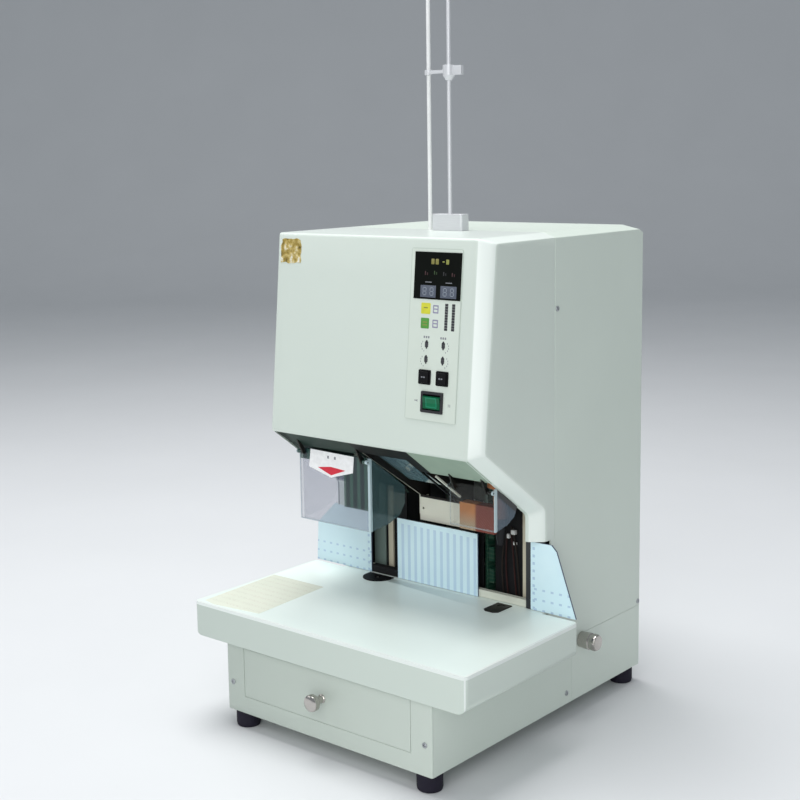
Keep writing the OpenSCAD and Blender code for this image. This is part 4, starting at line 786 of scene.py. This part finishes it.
panelMarks = {  # name: finish, how far out, thickness, corner, edge, boxes
    "digitWindows": ("glassPale", onScreen, 0.12, 0.6, 0.1, windows),
    "digits": ("digitGlow", onScreen + 0.1, 0.06, 0.2, 0.03,
               spread([(x + side, up) for x, up, _, _ in windows for side in (-5, 5)], figure)),
    "windowCaps": ("inkGrey", onScreen, 0.1, 0.2, 0.1, [(x, 195.6, 9.0, 0.9) for x, _, _, _ in windows]),
    "displayDashes": ("markGlow", onScreen, 0.1, 0.6, 0.1, [(84.5, 219, 4.4, 6.2), (90.6, 219, 4.4, 6.2)]),
    "displayTicks": ("inkOlive", onScreen, 0.1, 0.5, 0.1, [(99.5, 219, 3.2, 1.4), (105.2, 219, 4.2, 5.4)]),
    **{f"displaySpeck{i}": (ink, onScreen, 0.08, 0.3, 0.04, spread([at], speck))
       for i, (ink, *at) in enumerate(specks)},
    "yellowKey": ("inkYellow", onFilm, 0.22, 1.2, 0.1, [(77.0, 165.8, 13.4, 12.6)]),
    "greenKey": ("inkGreen", onFilm, 0.22, 1.2, 0.1, [(76.6, 149.0, 11.8, 12.0)]),
    "keyMarks": ("inkOlive", onFilm + 0.2, 0.06, 0.4, 0.03,
                 [(77.0, 166.6, 6.0, 1.3), (76.6, 150.2, 6.4, 1.2), (76.6, 147.0, 6.4, 1.2)]),
    "legends": ("inkPurple", onFilm, 0.15, 0.4, 0.1, spread([(91.2, 165.4), (91.2, 149.0)], legend)),
    "levelBars": ("inkBlack", onFilm, 0.16, 0.3, 0.1,
                  [(x, 171.1 - i * 3.05, 4.4, 2.85) for x in (106.4, 116.2) for i in range(10)]),
    "rowCaps": ("inkGrey", onFilm, 0.1, 0.4, 0.1,
                [(x + i * 3.1, 133.4, 2.2, 2.6) for x in (76.8, 100.6) for i in range(3)]),
    "dialStems": ("inkBlack", onFilm + 0.1, 0.3, 1.1, 0.1, spread([(x, up) for x, up, _ in dials], stem)),
    "dialTicks": ("inkGrey", onFilm, 0.1, 0.3, 0.1,
                  [(x + way * 7.6 * math.cos(turn), up - 1.5 + 6.6 * math.sin(turn), 0.9, 1.9)
                   for x, up, way in dials for turn in np.radians([-62, -36, -10, 16, 42])]),
    "switchMarks": ("inkGrey", onFilm, 0.1, 0.3, 0.1,
                    [(68.2, 60.4, 3.6, 1.1), (70.4, 60.4, 0.9, 3.0),
                     (115.2, 58.6, 0.9, 3.4), (117.4, 58.6, 0.9, 3.4)])}
for name, (finish, *sizes, boxes) in panelMarks.items():
    facePads(name, boxes, *sizes, finish, "smoked_window" if name.startswith("digit") else "panel_film")
print("control panel made")

buttons = {"places": {"left": 80.0, "right": 105.0}, "up": 88, "cap": (13.6, 13.1, 9.0), "capOut": -4.6,
           "rim": (17.0, 16.5, 1.7), "hole": (14.4, 13.9, 1.7), "rimOut": 0.7, "mark": (1.6, 2.2, 1.5),
           "markOut": 4.36}


def buildButtons(cfg):
    up, (aside, wide, high) = cfg["up"], cfg["mark"]
    for side, x in cfg["places"].items():
        node, rimAt = side + "_button", onFace(x, up, cfg["rimOut"])
        outer = padRings(rimAt, rightWay, faceUp, cfg["rim"], 1.6, 0.7)
        inner = padRings(rimAt, rightWay, faceUp, cfg["hole"], 1.2, 0.05, 1)
        rim = np.concatenate([outer, inner[::-1], outer[:1]])
        rimFaces = ringFaces(len(rim), 32, capped=False)
        addPiece(side + "ButtonRim", rim, rimFaces, "machine", "blackSatin", "black_plastic")
        cap = padRings(onFace(x, up, cfg["capOut"]), rightWay, faceUp, cfg["cap"], 1.6, 1.1, 5)
        made = addPiece(side + "ButtonCap", *gather([cap]), node, "blackSatin", "button_black")
        marks = [(x - aside, up, wide, high), (x + aside, up, wide, high)]
        facePads(side + "ButtonMark", marks, cfg["markOut"], 0.06, 0.3, 0.03, "inkGrey", "button_black", node)
        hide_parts(node)


buildButtons(buttons)
print("buttons made")


def plateOf(name, outline, out, thick, body, finish, slot):
    # a thin closed plate: its outline, and the same outline carried out by its thickness
    outline = np.array(outline, float)
    solid = np.stack([outline, outline + np.array(out) * thick / 1000])
    return addPiece(name, *gather([solid]), body, finish, slot)


def dotAt(x, z):
    # four corners round a place
    return [(x + dx, z + dz) for dx, dz in ((-1.4, -1.8), (-1.4, 1.7), (1.5, 1.9), (1.5, -1.6))]


guardLabels = {  # name: finish, y, thickness, (x, z) outline on the drill guard's front
    "guardMarker": ("inkWhite", 119.55, 0.35,
                    [(-123, 333), (-51, 331.6), (-53, 311), (-89, 300.6), (-126, 310)]),
    "guardArrow": ("inkRed", 119.25, 0.2, [(-111, 311.2), (-89.5, 314.2), (-65, 312.4), (-89, 303.4)]),
    "guardDotLeft": ("inkGrey", 119.25, 0.15, dotAt(-93.5, 325.9)),
    "guardDotRight": ("inkGrey", 119.25, 0.15, dotAt(-82.2, 325.9))}
for name, (finish, y, thick, outline) in guardLabels.items():
    plateOf(name, [mm(x, y, z) for x, z in outline], (0, -1, 0), thick, "drill_guard", finish, "acrylic")

slopePlates = {  # name: finish, slot, thickness, way out, first (y, z) and fall of the plane, (x, y) outline
    "troughFlange": ("trough", "cream_paint", 2.0, (0, 0.588, 0.809), faceFoot, slopeFall,
                     [(54.2, 145), (56.8, 145), (56.8, 192), (54.2, 192)]),
    "lensTail": ("lens", "smoked_window", 1.6, (0, 0.577, 0.817), (191, 300.8), 0.7066,
                 [(-35.2, 190.9), (35.2, 190.9), (35.2, 207), (-35.2, 207)]),
    "tablePaper": ("paper", "panel_film", 0.3, (0, 0, 1), (0, 150.95), 0.0,
                   [(-205.5, 131), (-118, 132), (-109.5, 7), (-179, -1.6), (-199, 2.5)])}
for name, (finish, slot, thick, out, (back, rise), fall, outline) in slopePlates.items():
    plateOf(name, [mm(x, y, rise - (y - back) * fall) for x, y in outline], out, thick, "machine", finish, slot)


def buildFoil(cfg):
    # rings of a jagged rounded square shrinking to its middle, each lifted by a few crossed waves
    turn = np.linspace(0, 2 * np.pi, 48, endpoint=False)
    square = 1 / np.maximum(np.abs(np.cos(turn)), np.abs(np.sin(turn))) ** 0.8
    jag = 1 + 0.035 * np.sin(7 * turn) + 0.03 * np.cos(11 * turn + 1)
    scale = np.concatenate([[1.0], np.linspace(1.0, 0.0, 13)])[:, None]
    x = cfg["size"][0] / 2 * scale * np.cos(turn) * square * jag
    y = cfg["size"][1] / 2 * scale * np.sin(turn) * square * jag
    lift = 0.35 + 0.22 * np.sin(x * 0.9 + y * 0.35) * np.cos(y * 0.6 - x * 0.2) + 0.12 * np.sin(y * 1.3 + x)
    lift[0] = -0.05
    spokes = x[..., None] * rightWay + y[..., None] * faceUp + lift[..., None] * faceOut
    rings = onFace(*cfg["at"]) + spokes / 1000
    addPiece("foilLabel", *gather([rings]), "machine", "foil", "pipe_brass", sharp=20)


buildFoil({"at": (-138.0, 224.0), "size": (34.0, 30.0)})
print("labels made")


knobs = {  # profile: (height out of the wall, radius) up to the closed middle
    "drawer": {"at": (-2, 0, 73), "way": (0, -1, 0), "body": "drawer", "ribs": 0,
               "profile": [(0, 5.2), (1.2, 5.2), (1.8, 4.4), (9.5, 4.2), (11.0, 5.6), (12.6, 8.6), (14.2, 9.8),
                           (18.6, 10.0), (20.4, 9.4), (21.6, 7.4), (22.2, 4.4), (22.4, 0.02)]},
    "fence": {"at": (160, 300, 96), "way": (1, 0, 0), "body": "fence_knob", "ribs": 32,
              "profile": [(5.6, 7.4), (6.2, 10.2), (14.6, 10.4), (15.4, 9.4), (17.4, 9.3), (18.2, 10.4),
                          (22.0, 10.4), (24.2, 9.4), (25.1, 7.0), (25.3, 0.02)]}}
for name, cfg in knobs.items():
    rings = latheRings(mm(*cfg["at"]), cfg["way"], cfg["profile"], 96, cfg["ribs"], 0.012)
    knob = addPiece(name + "Knob", *gather([rings]), cfg["body"], "chrome", "bright_steel", sharp=40)
    if name == "drawer":
        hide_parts("drawer_knob")


def screwRings(centre, way, radius, height):
    # a domed head on polar rings; the dome's height drops where a cross of 0.8 mm arms runs
    way = np.asarray(way, float)
    aside = np.cross(way, upWay)
    turn = np.linspace(0, 2 * np.pi, 64, endpoint=False)
    reach = np.concatenate([[radius, radius], np.linspace(radius * 0.97, 0.0, 14)])[:, None]
    x, y = reach * np.cos(turn), reach * np.sin(turn)
    lift = height * (0.45 + 0.55 * np.sqrt(np.maximum(1 - (reach / radius) ** 2, 0))) + 0 * x
    cross = (np.minimum(np.abs(x), np.abs(y)) < 0.42) & (reach < radius * 0.66)
    lift = lift - cross * height * 0.5
    lift[0] = 0.0
    lift[1] = height * 0.45
    return centre + (x[..., None] * aside + y[..., None] * upWay + lift[..., None] * way) / 1000


screws = {"radius": 3.2, "height": 1.75, "places": [((s * 150, -0.02, 58), (0, -1, 0)) for s in (-1, 1)]
          + [((s * 160.02, y, z), (s, 0, 0)) for s in (-1, 1) for y, z in ((245, 514), (438, 109), (267, 36))]
          + [((s * 148, 443.02, z), (0, 1, 0)) for s in (-1, 1) for z in (42, 160.5, 360.5, 560.5)]}
heads = [screwRings(mm(*at), way, screws["radius"], screws["height"]) for at, way in screws["places"]]
made = addPiece("coverScrews", *gather(heads), "machine", "zinc", "screw_zinc", sharp=40)
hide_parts("cover_screws")
lip = padRings(mm(0, 2.2, 74.5), rightWay, upWay, (261.6, 62.6, 1.6), 0.2, 0.1)
addPiece("drawerLip", *gather([lip]), "drawer", "shell", "cream_paint")
print("knobs and screws made")


def blockRings(x0, x1, y0, y1, z0, z1, edge=0.4):
    # an upright block with softened corners and top
    middle = mm((x0 + x1) / 2, (y0 + y1) / 2, z0)
    return padRings(middle, rightWay, backWay, (x1 - x0, y1 - y0, z1 - z0), edge, edge, 3)


# the hollow black pieces, the back sheets and the left sill, are black put in as painted shade deep in the
# throat
throatBlocks = {  # finish, slot, body, and boxes from left to right, front to back and bottom to top
    "leftBack": ("hollow", "black_plastic", "machine", [(-142, -70, 243.4, 244.6, 150.9, 268)]),
    "leftPanel": ("slate", "grey_castings", "machine", [(-124, -105, 240.6, 243.5, 150.9, 266)]),
    "leftStrip": ("tan", "cream_paint", "machine", [(-99.5, -91.5, 240.2, 243.5, 150.9, 266)]),
    "leftSill": ("hollow", "black_plastic", "fences", [(-111.6, -67.4, 220.6, 229.4, 151.7, 161.2)]),
    "rightBack": ("hollow", "black_plastic", "machine",
                  [(71, 141, 243.4, 244.6, 150.9, 268), (40, 53, 243.4, 244.6, 150.9, 268)]),
    "rightStrip": ("tan", "cream_paint", "machine", [(114.8, 119.8, 239.0, 243.5, 150.9, 266)]),
    "troughBib": ("troughTwo", "cream_paint", "machine", [(-36.6, 36.6, 229.2, 230.7, 232.3, 240.3)]),
    "plugs": ("white", "nylon_white", "machine",
              [(91, 94.5, 239.4, 243.6, 227, 232.5), (97.5, 103.5, 238.6, 243.6, 233, 238.5),
               (98, 104, 239.4, 243.6, 220, 223)]),
    "heaterBlock": ("heater", "rivet_copper", "rivet_head", [(52, 104, 195.5, 211.0, 243, 276)])}
for name, (finish, slot, body, boxes) in throatBlocks.items():
    addPiece(name, *gather([blockRings(*box) for box in boxes]), body, finish, slot)

wires = {  # corner points of each wire from its plug down to the table
    "wireRed": [((90, 241, 226), (91, 238, 205), (88, 240, 185), (92, 242, 152)),
                ((96, 241, 236), (103, 237, 214), (101, 240, 190), (104, 242, 152))],
    "wireBrown": [((86, 241, 217), (84, 238, 200), (83, 240, 180), (85, 242, 152)),
                  ((97, 241, 242), (107, 238, 225), (106, 241, 196), (109, 242, 152))]}
for finish, paths in wires.items():
    tubes = [tubeRings(bend(*[mm(*point) for point in path]), radius=1.1) for path in paths]
    addPiece(finish + "Loom", *gather(tubes), "machine", finish, "black_plastic", sharp=80)
print("throat filled")


camera = {"azimuth": 41.10, "elevation": 8.31, "roll": 1.06, "place": (1.0508, -1.3367, 0.6973), "lens": 62.6,
          "shift": (0.0473, -0.0536), "reach": 50}
lamps = {"key": {"place": (1.3, -2.7, 2.15), "size": 2.4, "power": 44.0},
         "sheen": {"place": (1.8, -3.1, 0.55), "size": 1.1, "power": 17.0},
         "side": {"place": (-2.4, -2.0, 1.6), "size": 1.6, "power": 9.0},
         "top": {"place": (-0.5, 0.1, 3.0), "size": 1.8, "power": 78.0}}
room = {"half": 9.0, "front": -9.0, "bendFrom": 5.0, "bend": 2.0, "high": 9.0, "air": (0.86, 0.93, 1.0),
        "light": 0.38, "floor": [(0.66, 0.67, 0.68), (0.70, 0.71, 0.72)]}


def stand(name, data, right, up, back, place):
    # puts a camera or a lamp at a place, looking against back
    made = bpy.data.objects.new(name, data)
    turned = np.column_stack([right, up, back]).tolist()
    made.matrix_world = Matrix([[*row, p] for row, p in zip(turned, place)] + [[0, 0, 0, 1]])
    bpy.context.scene.collection.objects.link(made)
    return made


def setCamera(cfg):
    # turned about the upright by the azimuth, raised by the elevation, then rolled about the line of sight
    a, e, r = (math.radians(cfg[k]) for k in ("azimuth", "elevation", "roll"))
    back = np.array([math.sin(a) * math.cos(e), -math.cos(a) * math.cos(e), math.sin(e)])
    right = np.array([math.cos(a), math.sin(a), 0.0])
    up = np.cross(back, right)
    right, up = math.cos(r) * right - math.sin(r) * up, math.sin(r) * right + math.cos(r) * up
    eye = bpy.data.cameras.new("camera")
    eye.lens = cfg["lens"]
    eye.shift_x, eye.shift_y = cfg["shift"]
    eye.clip_end = cfg["reach"]
    bpy.context.scene.camera = stand("camera", eye, right, up, back, cfg["place"])


def setLamps(cfg, target):
    # each lamp at its place, turned so that it looks at the target
    for name, lamp in cfg.items():
        light = bpy.data.lights.new(name, "AREA")
        light.energy = lamp["power"]
        light.size = lamp["size"]
        aim = np.array(target) - np.array(lamp["place"])
        back = -aim / np.linalg.norm(aim)
        right = np.cross(upWay, back)
        right /= np.linalg.norm(right)
        stand(name, light, right, np.cross(back, right), back, lamp["place"])


def setRoom(cfg):
    # a pale floor that runs back and up into a pale backdrop: one profile with a quarter bend, carried across
    # and turned to face the camera
    turn = np.linspace(0, np.pi / 2, 13)
    bendAt = np.stack([cfg["bendFrom"] + cfg["bend"] * np.sin(turn), cfg["bend"] * (1 - np.cos(turn))], -1)
    profile = np.concatenate([[[cfg["front"], 0.0]], bendAt, [[cfg["bendFrom"] + cfg["bend"], cfg["high"]]]])
    across = np.linspace(-cfg["half"], cfg["half"], 3)
    grid = np.stack([np.column_stack([np.full(len(profile), x), profile]) for x in across], 1)
    a, (x, y, z) = math.radians(camera["azimuth"]), np.moveaxis(grid, -1, 0)
    turned = np.stack([x * math.cos(a) - y * math.sin(a), x * math.sin(a) + y * math.cos(a), z], -1)
    index = np.arange(len(profile) * 3).reshape(-1, 3)
    quads = np.stack([index[:-1, :-1], index[:-1, 1:], index[1:, 1:], index[1:, :-1]], -1).reshape(-1, 4)
    mesh = bpy.data.meshes.new("floor")
    mesh.from_pydata(turned.reshape(-1, 3).tolist(), [], quads.tolist())
    mesh.shade_smooth()
    floor = bpy.data.objects.new("floor", mesh)
    bpy.context.scene.collection.objects.link(floor)
    f = Finish("paleFloor")
    f.paint(f.mix(f.noise(3.0), *cfg["floor"]))
    mesh.materials.append(f.set("Roughness", 0.7 + 0.1 * f.noise(20.0)).material)
    world = bpy.data.worlds.new("room")
    world.use_nodes = True
    background = world.node_tree.nodes["Background"]
    background.inputs[0].default_value = (*cfg["air"], 1)
    background.inputs[1].default_value = cfg["light"]
    bpy.context.scene.world = world


setCamera(camera)
setLamps(lamps, target=(0, 0, 0.35))
setRoom(room)
bpy.context.scene.view_settings.view_transform = "Standard"
print("studio set")
